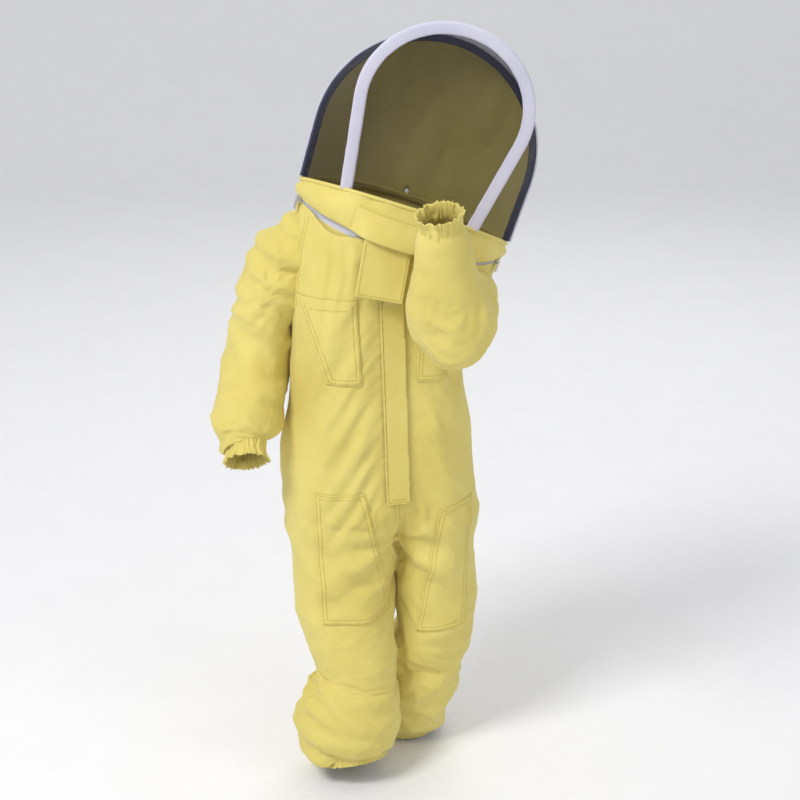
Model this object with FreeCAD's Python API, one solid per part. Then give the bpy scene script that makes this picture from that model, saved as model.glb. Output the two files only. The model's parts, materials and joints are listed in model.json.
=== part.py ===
import FreeCAD, Part
import math
import os

# Child's beekeeping suit with a fencing-veil hood, worn pose: right arm down, left hand raised.
# Millimetres. +Z up, the front faces -Y, +X is the wearer's left. The origin is the middle of the collar.

V = FreeCAD.Vector
BIG = 3000.0

# ---- driving dimensions ----
CLOTH = 3.0                  # wall of a cotton shell as modelled, with its lining and seams
GAP = 1.0                    # clearance between shells that slide in each other
BODY_YAW = 10.0              # the wearer's chest is turned this far to their left
BODY_X = -34.0               # middle of the torso, beside the collar's middle
COLLAR_TILT = 18.0           # the collar and hood lean towards the wearer's left
COLLAR_PITCH = 4.0           # and a little to the front
COLLAR_PLACE = V(-4, 0, -14)
COLLAR_FRONT_R = 155.0       # collar ring, front arc and the place of its centre
COLLAR_FRONT_Y = 50.0
COLLAR_REAR_R = 170.0        # collar ring, rear arc and the place of its centre
COLLAR_REAR_Y = -84.6
COLLAR_SIDE_TOP = 22.0       # the collar's height at its tips and back; its front rises from there
COLLAR_SLOPE = 19.0
SEAM = 5.0                   # thickness of the bound seam on the collar's top edge

FRONT_ARCH = {"half": 88.0, "radius": 109.0, "height": 255.0, "foot": V(0, -76, 53), "lean": -8.5}
REAR_ARCH = {"half": 146.0, "radius": 149.0, "height": 235.0, "foot": V(0, 0, 27), "lean": 14.0}
BAND_WIDTH = 16.0
BAND_DEPTH = 7.0
HOOP_R = 2.5
VEIL = 1.5                   # mesh sheet as modelled
DOME_DEPTH = 86.0

CHEST_FRONT = -92.0          # flat front of the torso, in the body's own frame
CHEST_BACK = 80.0
FLAT_HALF = 112.0            # half the width of that flat front
TORSO_LEVELS = [(-404.0, 138.0), (-310.0, 134.0), (-200.0, 118.0), (-100.0, 124.0)]   # height, half width

ZIP_TOP = -46.0
ZIP_BOTTOM = -388.0
ZIP_LEAN = -1.8
SLIDER_HALF = 6.0
ZIP_HALF_ANGLE = 68.0        # how far round the collar's front arc the neck zip reaches each way
TAPE = 1.0                   # thickness of the zips' tapes
COIL = 3.0                   # depth of the neck zip's coils
SLIDER_PLATE = 1.8
NECK_SLIDER_HALF_ANGLE = 2.4
NECK_SLIDER_REST = 64.0      # where the neck zip's sliders stand, either side of the front
NECK_PULL_LENGTH = 15.0

SHOULDER = {"right": V(-140, 0, -64), "left": V(78, 5, -129)}
ELBOW = {"right": V(-205, 20, -215), "left": V(66, -150, -110)}
WRIST = {"right": V(-218, -84, -296), "left": V(49, -194, 36)}
SHOULDER_AXIS = {"right": V(0, 1, 0), "left": V(0, 0, 1)}
SHOULDER_RANGE = {"right": (0, 55), "left": (0, 36)}
ELBOW_RANGE = {"right": (-45, 40), "left": (-60, 5)}
SLEEVE = {"ball": 48.0, "top": 45.0, "elbow": 48.0, "fore": 39.0, "wrist": 34.0}
WRIST_BORE = 24.0

HIP_HALF = 68.0
HIP_Z = -392.0
KNEE = {"right": V(-88, -45, -545), "left": V(47, 5, -565)}
ANKLE = {"right": V(-75, -90, -745), "left": V(14, 28, -758)}
KNEE_RANGE = (0, 65)
LEG = {"ball": 62.0, "top": 58.0, "knee": 60.0, "calf": 53.0, "ankle": 50.0}
ANKLE_BORE = 40.0

FLAP_WIDTH = 64.0
FLAP_HEIGHT = 78.0
FLAP_BACK = -114.0           # plane of the flap's inner face

COLLAR_TURN = FreeCAD.Rotation(V(0, 1, 0), COLLAR_TILT).multiply(FreeCAD.Rotation(V(1, 0, 0), COLLAR_PITCH))
HOOD = FreeCAD.Placement(COLLAR_PLACE, COLLAR_TURN)
FLAP = FreeCAD.Placement(V(-18, 0, -11), FreeCAD.Rotation(V(0, 1, 0), 10.0))
BODY = FreeCAD.Placement(V(BODY_X, 0, 0), FreeCAD.Rotation(V(0, 0, 1), BODY_YAW))
ZIP = BODY.multiply(FreeCAD.Placement(V(0, 0, 0), FreeCAD.Rotation(V(0, 1, 0), ZIP_LEAN)))
BODY_ACROSS = BODY.Rotation.multVec(V(1, 0, 0))

NODES = {}


# ---- helpers ----
def keep(name, shape):
    """Store one node, as its separate solids."""
    NODES[name] = shape.Solids[0] if len(shape.Solids) == 1 else Part.makeCompound(shape.Solids)


def placed(shape, place):
    """A copy of a shape moved from a local frame into the suit's frame."""
    return shape.transformed(place.toMatrix())


def box(x, y, z):
    """A box from its three ranges."""
    return Part.makeBox(x[1] - x[0], y[1] - y[0], z[1] - z[0], V(x[0], y[0], z[0]))


def beyond(point, direction):
    """All space on the far side of a plane."""
    block = Part.makeBox(BIG, BIG, BIG, V(-BIG / 2, -BIG / 2, 0))
    return placed(block, FreeCAD.Placement(point, FreeCAD.Rotation(V(0, 0, 1), direction)))


def unit(vector):
    """The same direction, one long."""
    return V(vector).normalize()


def turned(vector, axis, degrees):
    """A vector turned about an axis."""
    return FreeCAD.Rotation(axis, degrees).multVec(vector)


def ring(inner, outer, low, high, half_angle=180.0, centre_y=0.0, facing=-90.0):
    """A ring, or a sector of one, about a vertical axis; facing is the direction of its middle."""
    wide = Part.makeCylinder(outer, high - low, V(0, 0, 0), V(0, 0, 1), 2 * half_angle)
    thin = Part.makeCylinder(inner, high - low, V(0, 0, 0), V(0, 0, 1), 2 * half_angle)
    sector = wide.cut(thin)
    turn = FreeCAD.Rotation(V(0, 0, 1), facing - half_angle)
    return placed(sector, FreeCAD.Placement(V(0, centre_y, low), turn))


def lens(offset, low, high):
    """The collar's pointed oval, grown by an offset, between two heights."""
    front = Part.makeCylinder(COLLAR_FRONT_R + offset, high - low, V(0, COLLAR_FRONT_Y, low))
    rear = Part.makeCylinder(COLLAR_REAR_R + offset, high - low, V(0, COLLAR_REAR_Y, low))
    return front.common(rear)


def solid_from(quads):
    """A closed solid from four-cornered patches, each split into two flat triangles."""
    faces = []
    for a, b, c, d in quads:
        for corners in ((a, b, c), (a, c, d)):
            if (corners[1] - corners[0]).cross(corners[2] - corners[0]).Length > 1e-6:
                faces.append(Part.Face(Part.makePolygon(list(corners) + [corners[0]])))
    shell = Part.makeShell(faces)
    shell.sewShape()
    solid = Part.makeSolid(shell)
    if solid.Volume < 0:
        solid.reverse()
    return solid


def levels_solid(levels):
    """A filled solid through closed loops of points, with a flat-triangle cap at each end."""
    count = len(levels[0])
    quads = []
    for low, high in zip(levels, levels[1:]):
        for j in range(count):
            k = (j + 1) % count
            quads.append((low[j], low[k], high[k], high[j]))
    for loop, step in ((levels[0], -1), (levels[-1], 1)):
        middle = sum(loop, V(0, 0, 0)) * (1.0 / count)
        for j in range(count):
            a, b = loop[j], loop[(j + 1) % count]
            quads.append((middle, a, b, middle) if step > 0 else (middle, b, a, middle))
    return solid_from(quads)


def triangles_solid(outer, inner):
    """A sheet between two equal grids of points, closed along its edges, all in flat triangles."""
    rows, columns = len(outer), len(outer[0])
    quads = []
    for i in range(rows - 1):
        for j in range(columns - 1):
            quads.append((outer[i][j], outer[i][j + 1], outer[i + 1][j + 1], outer[i + 1][j]))
            quads.append((inner[i][j], inner[i + 1][j], inner[i + 1][j + 1], inner[i][j + 1]))
    for i in range(rows - 1):
        for j in (0, columns - 1):
            quads.append((outer[i][j], outer[i + 1][j], inner[i + 1][j], inner[i][j]))
    for j in range(columns - 1):
        for i in (0, rows - 1):
            quads.append((outer[i][j], outer[i][j + 1], inner[i][j + 1], inner[i][j]))
    return solid_from(quads)


# ---- hood ----
def arch_tangent(half, radius, height):
    """Angle, on the arch's top arc, where the straight sides leave it."""
    centre = height - radius
    away = math.hypot(half, centre)
    return math.atan2(-centre, half) + math.acos(radius / away)


def arch_plane(arch):
    """Placement of an arch's flat frame: x across, y up along the arch, z to the front."""
    up = V(0, math.sin(math.radians(arch["lean"])), math.cos(math.radians(arch["lean"])))
    turn = FreeCAD.Rotation(V(1, 0, 0), up, V(1, 0, 0).cross(up), "XYZ")
    return FreeCAD.Placement(arch["foot"], turn)


def arch_outline(arch, grow):
    """A closed arch outline in its own frame, grown outwards; its foot stays on the base line."""
    half, radius, height = arch["half"] + grow, arch["radius"] + grow, arch["height"] + grow
    centre = height - radius
    angle = arch_tangent(half, radius, height)
    right = V(radius * math.cos(angle), centre + radius * math.sin(angle), 0)
    left = V(-right.x, right.y, 0)
    top = V(0, height, 0)
    edges = [
        Part.makeLine(V(half, 0, 0), right),
        Part.Arc(right, top, left).toShape(),
        Part.makeLine(left, V(-half, 0, 0)),
        Part.makeLine(V(-half, 0, 0), V(half, 0, 0)),
    ]
    return Part.Wire(edges)


def arch_plate(arch, grow, low, high):
    """The arch filled in, between two depths."""
    face = Part.Face(arch_outline(arch, grow))
    plate = face.extrude(V(0, 0, high - low))
    plate.translate(V(0, 0, low))
    return plate


def arch_band(arch):
    """The cotton binding band round a hoop, and the hoop inside it, in the suit's frame."""
    half_width = BAND_WIDTH / 2
    band = arch_plate(arch, half_width, -BAND_DEPTH / 2, BAND_DEPTH / 2)
    band = band.cut(arch_plate(arch, -half_width, -BAND_DEPTH, BAND_DEPTH))
    outline = arch_outline(arch, 0.0)
    path = Part.Wire(outline.Edges[:3])
    section = Part.Wire(Part.makeCircle(HOOP_R, V(arch["half"], 0, 0), V(0, 1, 0)))
    hoop = path.makePipeShell([section], True, True)
    hoop = hoop.cut(box((-BIG, BIG), (-BIG, 0), (-BIG, BIG)))
    place = HOOD.multiply(arch_plane(arch))
    return placed(band.cut(hoop), place), placed(hoop, place)


def arch_point(arch, share, scale_in, depth):
    """A point on the arch; share runs from 0 at the right foot to 1 at the left foot."""
    half, radius = arch["half"] - scale_in, arch["radius"] - scale_in
    height = arch["height"] - scale_in
    angle = arch_tangent(half, radius, height)
    centre = height - radius
    sweep = angle + (math.pi - 2 * angle) * (share - 0.2) / 0.6
    if share < 0.2:
        top = V(radius * math.cos(angle), centre + radius * math.sin(angle), 0)
        flat = V(half, 0, 0) + (top - V(half, 0, 0)) * (share / 0.2)
    elif share > 0.8:
        mirror = arch_point(arch, 1 - share, scale_in, depth)
        return V(-mirror.x, mirror.y, mirror.z)
    else:
        flat = V(radius * math.cos(sweep), centre + radius * math.sin(sweep), 0)
    flat.z = depth
    return arch_plane(arch).multVec(flat)


def gusset(low_share, high_share):
    """Mesh between the front band and the rear band, over part of their length."""
    steps = 8
    grids = []
    for scale_in in (0.0, VEIL):
        rows = []
        for k in range(steps + 1):
            share = low_share + (high_share - low_share) * k / steps
            front = arch_point(FRONT_ARCH, share, scale_in, -BAND_DEPTH / 2)
            rear = arch_point(REAR_ARCH, share, scale_in, BAND_DEPTH / 2)
            rows.append([front, rear])
        grids.append(rows)
    return placed(triangles_solid(*grids), HOOD)


def hood_dome():
    """The cotton back of the hood: a quarter ellipsoid hung from the rear band."""
    steps, turns = 20, 6
    grids = []
    for scale_in in (0.0, CLOTH):
        rows = []
        for k in range(steps + 1):
            row = []
            for m in range(turns + 1):
                angle = math.radians(88.0 * m / turns)
                rim = arch_point(REAR_ARCH, k / steps, scale_in, -BAND_DEPTH / 2)
                foot = REAR_ARCH["foot"]
                height = foot.z + (rim.z - foot.z) * math.cos(angle)
                depth = rim.y * math.cos(angle) + (DOME_DEPTH - scale_in) * math.sin(angle)
                row.append(V(rim.x * math.cos(angle), depth, height))
            rows.append(row)
        grids.append(rows)
    return placed(triangles_solid(*grids), HOOD)


def collar_slab(low, high):
    """The space between two heights above the collar's top, which rises to the front."""
    front = -130.0
    rise = -front * math.tan(math.radians(COLLAR_SLOPE))
    base = COLLAR_SIDE_TOP
    outline = [(front, base + rise + low), (0, base + low), (120, base + low),
               (120, base + high), (0, base + high), (front, base + rise + high)]
    points = [V(-200, y, z) for y, z in outline]
    return Part.Face(Part.makePolygon(points + [points[0]])).extrude(V(400, 0, 0))


def make_hood():
    """Everything that folds back with the hood."""
    wall = lens(0, 6, 90).cut(lens(-CLOTH, 5, 91))
    ledge = lens(0, 6, 90).cut(lens(-22, 5, 91))
    keep("collar_band", placed(wall.common(collar_slab(-90.0, 0.0)), HOOD))
    binding = placed(ledge.common(collar_slab(0.0, SEAM)), HOOD)
    for name, arch in (("front", FRONT_ARCH), ("rear", REAR_ARCH)):
        band, hoop = arch_band(arch)
        keep(name + "_arch_band", band)
        keep(name + "_hoop", hoop)
    place = HOOD.multiply(arch_plane(FRONT_ARCH))
    mesh = arch_plate(FRONT_ARCH, -BAND_WIDTH / 2, -VEIL / 2, VEIL / 2)
    keep("veil_front", placed(mesh, place))
    keep("veil_gusset_left", gusset(0.0, 0.33))
    keep("veil_gusset_top", gusset(0.33, 0.67))
    keep("veil_gusset_right", gusset(0.67, 1.0))
    keep("hood_back", hood_dome())
    for name in ("front_arch_band", "front_hoop", "rear_arch_band", "rear_hoop", "veil_front",
                 "veil_gusset_left", "veil_gusset_right", "hood_back"):
        binding = binding.cut(NODES[name])
    keep("collar_top_binding", binding)


# ---- round-the-neck zip ----
def neck_ring(inner, outer, low, high, half_angle, facing=-90.0):
    """A sector of a ring about the collar's front arc, from radii given outwards of its wall."""
    sector = ring(COLLAR_FRONT_R + inner, COLLAR_FRONT_R + outer, low, high, half_angle,
                  COLLAR_FRONT_Y, facing)
    return placed(sector, HOOD)


def make_neck_zip():
    """Two tapes, two coils, two sliders and their pulls."""
    keep("neck_zip_upper_tape", neck_ring(0, TAPE, 1.8, 8, ZIP_HALF_ANGLE))
    keep("neck_zip_upper_coil", neck_ring(0, COIL, 0.2, 1.8, ZIP_HALF_ANGLE))
    keep("neck_zip_lower_tape", neck_ring(0, TAPE, -8, -1.8, ZIP_HALF_ANGLE))
    keep("neck_zip_lower_coil", neck_ring(0, COIL, -1.8, -0.2, ZIP_HALF_ANGLE))
    for side, sign in (("right", -1), ("left", 1)):
        facing = -90.0 + sign * NECK_SLIDER_REST
        half = NECK_SLIDER_HALF_ANGLE
        plate = neck_ring(COIL + 0.4, COIL + 0.4 + SLIDER_PLATE, -3.4, 3.4, half, facing)
        lip = neck_ring(TAPE + 0.4, COIL + 0.4, -3.4, -2.2, half, facing)
        keep("neck_slider_" + side, plate.fuse(lip))
        outer = COIL + 0.4 + SLIDER_PLATE + 0.6
        pull = neck_ring(outer, outer + 1.2, -NECK_PULL_LENGTH, 0.5, half / 2, facing)
        keep("neck_pull_" + side, pull)


# ---- torso ----
def octagon(half, back, front, height, shrink):
    """One level of the torso, in the body's frame."""
    half, back, front = half - shrink, back - shrink, front + shrink
    flat = min(FLAT_HALF, half - 6) - shrink * 0.4
    across = [(-flat, front), (flat, front), (half, front * 0.45), (half, back * 0.5),
              (flat * 0.7, back), (-flat * 0.7, back), (-half, back * 0.5), (-half, front * 0.45)]
    return [V(x, y, height) for x, y in across]


def neck_level(shrink):
    """The torso's top level, in the collar's tilted plane."""
    low = -24.0
    half, back, front = 138.0 - shrink, 78.0 - shrink, -92.0 + shrink
    across = [(-58, front), (58, front), (half, -30), (half, 24),
              (64, back), (-64, back), (-half, 24), (-half, -30)]
    points = [HOOD.multVec(V(x, y, low)) for x, y in across]
    for k in (0, 1):
        local = BODY.inverse().multVec(points[k])
        local.y = CHEST_FRONT + shrink
        points[k] = BODY.multVec(local)
    return points


def torso_solid(shrink):
    """The torso filled in, smaller all round by a shrink."""
    levels = []
    for height, half in TORSO_LEVELS:
        points = octagon(half, CHEST_BACK, CHEST_FRONT, height, shrink)
        levels.append([BODY.multVec(p) for p in points])
    if shrink:
        levels[0] = [p + V(0, 0, -20) for p in levels[0]]
    levels.append(neck_level(shrink))
    if shrink:
        normal = HOOD.Rotation.multVec(V(0, 0, 1))
        levels.append([p + normal * 20 for p in levels[-1]])
    return levels_solid(levels)


def arm_sweep(side):
    """The space an upper sleeve passes through as it swings at the shoulder."""
    pivot = SHOULDER[side]
    reach = ELBOW[side] - pivot
    low, high = SHOULDER_RANGE[side]
    space = Part.makeSphere(SLEEVE["ball"] + 2, pivot)
    steps = 4
    for k in range(steps + 1):
        direction = turned(reach, SHOULDER_AXIS[side], low + (high - low) * k / steps)
        space = space.fuse(Part.makeCylinder(SLEEVE["ball"] + 2, 240, pivot, direction))
    return space


def make_torso():
    """Front panels, back panel, yoke facing, neck band, waist elastic and crotch gusset."""
    shell = torso_solid(0).cut(torso_solid(CLOTH))
    for side in SHOULDER:
        shell = shell.cut(arm_sweep(side))
    slot = placed(box((-2.6, 2.6), (-BIG, -40), (ZIP_BOTTOM, BIG)), ZIP)
    shell = shell.cut(slot)
    back_half = placed(box((-BIG, BIG), (0, BIG), (-BIG, BIG)), BODY)
    front = shell.cut(back_half)
    left_half = placed(box((0, BIG), (-BIG, BIG), (-BIG, BIG)), ZIP)
    keep("torso_back", shell.common(back_half))
    keep("torso_front_left", front.common(left_half))
    keep("torso_front_right", front.cut(left_half))
    facing = placed(lens(2, -24, -22).cut(lens(-10, -25, -21)), HOOD)
    keep("yoke_facing", facing.cut(shell).cut(arm_sweep("left")))
    band = lens(0, -22, -6).cut(lens(-CLOTH, -23, -5))
    keep("neck_band", placed(band, HOOD))
    elastic = box((-60, 60), (CHEST_BACK, CHEST_BACK + 3), (-270, -245))
    keep("back_waist_elastic", placed(elastic, BODY))


def make_front_zip():
    """Two tapes, two rows of teeth, stops, slider, pull and the fly that covers them."""
    face = CHEST_FRONT
    for side, sign in (("right", -1), ("left", 1)):
        tape = sorted((sign * 2.6, sign * 14.0))
        teeth = sorted((sign * 0.1, sign * 2.6))
        keep("zip_tape_" + side, placed(box(tape, (face - TAPE, face), (ZIP_BOTTOM, ZIP_TOP)), ZIP))
        strip = box(teeth, (face - 2.0, face + 0.6), (ZIP_BOTTOM + 4, ZIP_TOP))
        keep("zip_teeth_" + side, placed(strip, ZIP))
    stops = box((-2.6, 2.6), (face - 2.4, face + 0.6), (ZIP_BOTTOM, ZIP_BOTTOM + 4))
    keep("zip_bottom_stop", placed(stops, ZIP))
    plate = box((-SLIDER_HALF, SLIDER_HALF), (face - 4.4, face - 2.4), (ZIP_TOP - 16, ZIP_TOP - 2))
    lips = [box(sorted((s * 3.0, s * SLIDER_HALF)), (face - 2.4, face - 1.4), (ZIP_TOP - 16, ZIP_TOP - 2))
            for s in (-1, 1)]
    keep("front_zip_slider", placed(plate.fuse(lips), ZIP))
    pull = box((-3, 3), (face - 6.4, face - 5.2), (ZIP_TOP - 26, ZIP_TOP - 6.5))
    keep("front_zip_pull", placed(pull, ZIP))
    cover = box((-13, 17), (face - 11, face - 9), (ZIP_BOTTOM, ZIP_TOP - 30))
    wall = box((15, 17), (face - 9, face), (ZIP_BOTTOM, ZIP_TOP - 30))
    foot = box((-13, 17), (face - 11, face - 2.4), (ZIP_BOTTOM - 3, ZIP_BOTTOM))
    keep("zip_fly", placed(cover.fuse([wall, foot]), ZIP))


def make_chest_pockets():
    """Patch pockets, open at the top."""
    for side, sign in (("right", -1), ("left", 1)):
        x = sorted((sign * 38.0, sign * 108.0))
        outer = box(x, (CHEST_FRONT - 8, CHEST_FRONT), (-212, -96))
        inner = box((x[0] + 2, x[1] - 2), (CHEST_FRONT - 6, CHEST_FRONT), (-210, -90))
        pouch = placed(outer.cut(inner), BODY)
        keep("chest_pocket_" + side, pouch.cut(arm_sweep(side)))


def make_neck_flap():
    """The square flap over the zips' meeting point, its hook and loop patches, and its seam."""
    half = FLAP_WIDTH / 2
    flap = box((-half, half), (FLAP_BACK - 3, FLAP_BACK), (-FLAP_HEIGHT, 0))
    keep("neck_flap", placed(flap, FLAP))
    hook = box((12 - half, half - 12), (FLAP_BACK, FLAP_BACK + 1.5), (4 - FLAP_HEIGHT, 24 - FLAP_HEIGHT))
    keep("flap_hook_patch", placed(hook, FLAP))
    cover = CHEST_FRONT - 11
    loop = box((-11, 15), (cover - 1.5, cover), (ZIP_TOP - 52, ZIP_TOP - 32))
    keep("flap_loop_patch", placed(loop, ZIP))
    seam = box((-46, 22), (FLAP_BACK - 3.5, -60), (17, 22)).cut(lens(0, 16, 23))
    keep("flap_seam", placed(seam, HOOD))


# ---- sleeves and legs ----
def limb_solid(start, end, ball, start_radius, end_radius, end_ball, change=0.0):
    """A tapered tube with a ball at each end, all radii changed by the same amount."""
    along = end - start
    solid = Part.makeCone(start_radius + change, end_radius + change, along.Length, start, along)
    if ball:
        solid = solid.fuse(Part.makeSphere(ball + change, start))
    if end_ball:
        solid = solid.fuse(Part.makeSphere(end_ball + change, end))
    return solid


def first_limb(name, start, end, size, middle, pulled_back, cut_back):
    """An upper sleeve or thigh: a ball inside the torso, and a socket round the elbow or knee."""
    ball, top, socket = size
    outer = limb_solid(start, end, ball, top, socket - 1, socket)
    inner = limb_solid(start, end, ball, top, socket - 1, socket, -CLOTH)
    along = unit(end - start)
    shell = outer.cut(inner)
    shell = shell.cut(beyond(start - along * (ball * cut_back), along * -1))
    rim = end - middle * (socket * math.sin(math.radians(pulled_back)))
    shell = shell.cut(beyond(rim, middle))
    keep(name, shell)
    return outer


def second_limb(name, start, end, ball, top, low, towards_parent):
    """A lower sleeve or shin: a ball inside the socket, and an open end."""
    outer = limb_solid(start, end, ball, top, low, 0)
    inner = limb_solid(start, end, ball, top, low, 0, -CLOTH)
    shell = outer.cut(inner)
    shell = shell.cut(beyond(start + towards_parent * (ball * 0.3), towards_parent))
    keep(name, shell)


def elastic_end(names, end, along, tube_radius, bore):
    """The gathered casing at a cuff or ankle, with its elastic sealed inside."""
    casing_name, elastic_name = names
    outer = Part.makeCylinder(tube_radius, 16, end, along)
    outer = outer.cut(Part.makeCylinder(bore, 16, end, along))
    elastic = Part.makeCylinder(bore + 4.5, 8, end + along * 5, along)
    elastic = elastic.cut(Part.makeCylinder(bore + 2, 8, end + along * 5, along))
    keep(casing_name, outer.cut(elastic))
    keep(elastic_name, elastic)


def make_sleeves():
    """Upper and lower sleeves with their cuffs."""
    for side in ("right", "left"):
        start, end, tip = SHOULDER[side], ELBOW[side], WRIST[side]
        arm, fore = unit(end - start), unit(tip - end)
        hinge = unit(arm.cross(fore))
        middle = turned(fore, hinge, sum(ELBOW_RANGE[side]) / 2)
        size = (SLEEVE["ball"], SLEEVE["top"], SLEEVE["elbow"])
        first_limb("upper_sleeve_" + side, start, end, size, middle, 20.0, 0.5)
        ball = SLEEVE["elbow"] - CLOTH - GAP
        second_limb("lower_sleeve_" + side, end, tip, ball, SLEEVE["fore"], SLEEVE["wrist"], arm * -1)
        elastic_end(("cuff_casing_" + side, "cuff_elastic_" + side), tip, fore,
                    SLEEVE["wrist"] - 2, WRIST_BORE)


def leg_patch(thigh, hip, knee, spread, low, high, facing):
    """A cloth patch lying on the thigh, over an angle and a height range."""
    thick = limb_solid(hip, knee, LEG["ball"], LEG["top"], LEG["knee"] - 1, LEG["knee"], 2.0)
    sector = ring(20, 110, low, high, spread, 0.0, facing + BODY_YAW)
    middle = (hip + knee) * 0.5
    sector.translate(V(middle.x, middle.y, 0))
    return thick.cut(thigh).common(sector)


def make_legs():
    """Thighs and shins with ankle hems, knee patches and hip pockets."""
    for side, sign in (("right", -1), ("left", 1)):
        hip = BODY.multVec(V(sign * HIP_HALF, 0, HIP_Z))
        knee, ankle = KNEE[side], ANKLE[side]
        thigh, shin = unit(knee - hip), unit(ankle - knee)
        middle = turned(shin, BODY_ACROSS, sum(KNEE_RANGE) / 2)
        size = (LEG["ball"], LEG["top"], LEG["knee"])
        solid = first_limb("thigh_" + side, hip, knee, size, middle, 17.0, 0.4)
        ball = LEG["knee"] - CLOTH - GAP
        second_limb("shin_" + side, knee, ankle, ball, LEG["calf"], LEG["ankle"], thigh * -1)
        elastic_end(("ankle_casing_" + side, "ankle_elastic_" + side), ankle, shin,
                    LEG["ankle"] - 2, ANKLE_BORE)
        keep("knee_patch_" + side, leg_patch(solid, hip, knee, 38.0, -548, -430, -90.0))
        keep("hip_pocket_" + side, leg_patch(solid, hip, knee, 22.0, -500, -415, -90.0 + sign * 66.0))


def main():
    """Build every node and write its STEP file."""
    make_torso()
    make_front_zip()
    make_chest_pockets()
    make_neck_flap()
    make_hood()
    make_neck_zip()
    make_sleeves()
    make_legs()
    os.makedirs("parts", exist_ok=True)
    for name, shape in NODES.items():
        if not shape.isValid() or not shape.Solids:
            raise RuntimeError("bad shape: " + name)
        shape.exportStep("parts/" + name + ".step")
        size = shape.BoundBox
        print(name, len(shape.Solids), round(shape.Volume / 1000, 2),
              [round(v) for v in (size.XMin, size.YMin, size.ZMin, size.XMax, size.YMax, size.ZMax)])
    print(len(NODES), "nodes")


main()
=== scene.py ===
"""Looks of the child's beekeeping suit: cloth, veil, zips and studio, round the CAD frame."""
import json
import math
import random

import bmesh
import bpy
from mathutils import Matrix, Vector, noise
from mathutils.bvhtree import BVHTree

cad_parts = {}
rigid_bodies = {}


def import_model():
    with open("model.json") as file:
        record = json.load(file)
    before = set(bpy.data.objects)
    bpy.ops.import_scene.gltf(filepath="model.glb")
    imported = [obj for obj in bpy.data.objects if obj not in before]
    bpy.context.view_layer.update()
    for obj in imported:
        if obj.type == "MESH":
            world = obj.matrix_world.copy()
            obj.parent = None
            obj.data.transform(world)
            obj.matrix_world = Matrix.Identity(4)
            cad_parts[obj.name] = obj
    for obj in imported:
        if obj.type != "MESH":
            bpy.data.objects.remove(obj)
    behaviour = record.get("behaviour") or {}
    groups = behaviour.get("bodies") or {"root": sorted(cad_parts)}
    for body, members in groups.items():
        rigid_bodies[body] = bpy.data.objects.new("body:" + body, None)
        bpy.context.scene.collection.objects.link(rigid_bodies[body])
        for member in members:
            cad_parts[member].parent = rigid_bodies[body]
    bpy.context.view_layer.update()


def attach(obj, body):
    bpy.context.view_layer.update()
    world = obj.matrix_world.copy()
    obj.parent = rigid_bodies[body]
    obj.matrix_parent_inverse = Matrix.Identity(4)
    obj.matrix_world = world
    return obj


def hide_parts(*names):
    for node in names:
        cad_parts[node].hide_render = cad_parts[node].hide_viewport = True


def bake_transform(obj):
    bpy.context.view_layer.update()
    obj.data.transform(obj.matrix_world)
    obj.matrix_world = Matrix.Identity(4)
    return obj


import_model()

random.seed(7)
MM = 0.001
SCENE = bpy.context.scene

# ---- places, as in the CAD, in metres ----
HOOD = (Matrix.Translation((-0.004, 0, -0.014))
        @ Matrix.Rotation(math.radians(18), 4, "Y") @ Matrix.Rotation(math.radians(4), 4, "X"))
BODY = Matrix.Translation((-0.034, 0, 0)) @ Matrix.Rotation(math.radians(10), 4, "Z")
ZIP = BODY @ Matrix.Rotation(math.radians(-1.8), 4, "Y")
FLAP = Matrix.Translation((-0.018, 0, -0.011)) @ Matrix.Rotation(math.radians(10), 4, "Y")
COLLAR_FRONT = (0.155, 0.050)           # radius of an arc and the y of its centre
COLLAR_REAR = (0.170, -0.0846)
COLLAR_TIP = 0.147
FRONT_ARCH = {"half": 0.088, "radius": 0.109, "height": 0.255, "foot": (-0.076, 0.050), "lean": -8.5}
REAR_ARCH = {"half": 0.146, "radius": 0.149, "height": 0.235, "foot": (0.0, 0.026), "lean": 14.0}
JOINT_AT = {"shoulder_right": Vector((-0.140, 0.0, -0.064)), "elbow_right": Vector((-0.205, 0.020, -0.215)),
            "shoulder_left": Vector((0.078, 0.005, -0.129)), "elbow_left": Vector((0.066, -0.150, -0.110))}

VOXEL = 0.0065
CLOTH_STEPS = 26


# ---- small helpers ----
def smooth(x):
    """Smoothstep of x between 0 and 1."""
    x = min(1.0, max(0.0, x))
    return x * x * (3 - 2 * x)


def mix(a, b, t):
    """The value a fraction t of the way from a to b."""
    return a + (b - a) * t


def new_object(name, mesh):
    """A mesh as an object in the scene."""
    piece = bpy.data.objects.new(name, mesh)
    SCENE.collection.objects.link(piece)
    return piece


def mesh_from(name, points, faces, material=None):
    """An object from points and faces, smooth shaded."""
    mesh = bpy.data.meshes.new(name)
    mesh.from_pydata([tuple(p) for p in points], [], faces)
    mesh.polygons.foreach_set("use_smooth", [True] * len(mesh.polygons))
    mesh.update()
    piece = new_object(name, mesh)
    if material:
        mesh.materials.append(material)
    return piece


def grid_faces(rows, columns, closed):
    """Faces of a grid of points; closed joins the last column to the first."""
    faces = []
    last = columns if closed else columns - 1
    for i in range(rows - 1):
        for j in range(last):
            k = (j + 1) % columns
            faces.append((i * columns + j, i * columns + k, (i + 1) * columns + k, (i + 1) * columns + j))
    return faces


def grid_object(name, rows, closed=False, material=None, flip=False):
    """An object from rows of points."""
    points = [p for row in rows for p in row]
    faces = grid_faces(len(rows), len(rows[0]), closed)
    if flip:
        faces = [tuple(reversed(f)) for f in faces]
    return mesh_from(name, points, faces, material)


def apply_modifiers(piece):
    """Replace the piece's mesh by what its modifiers make of it."""
    graph = bpy.context.evaluated_depsgraph_get()
    mesh = bpy.data.meshes.new_from_object(piece.evaluated_get(graph))
    old = piece.data
    piece.modifiers.clear()
    piece.data = mesh
    if not old.users:
        bpy.data.meshes.remove(old)


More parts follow.
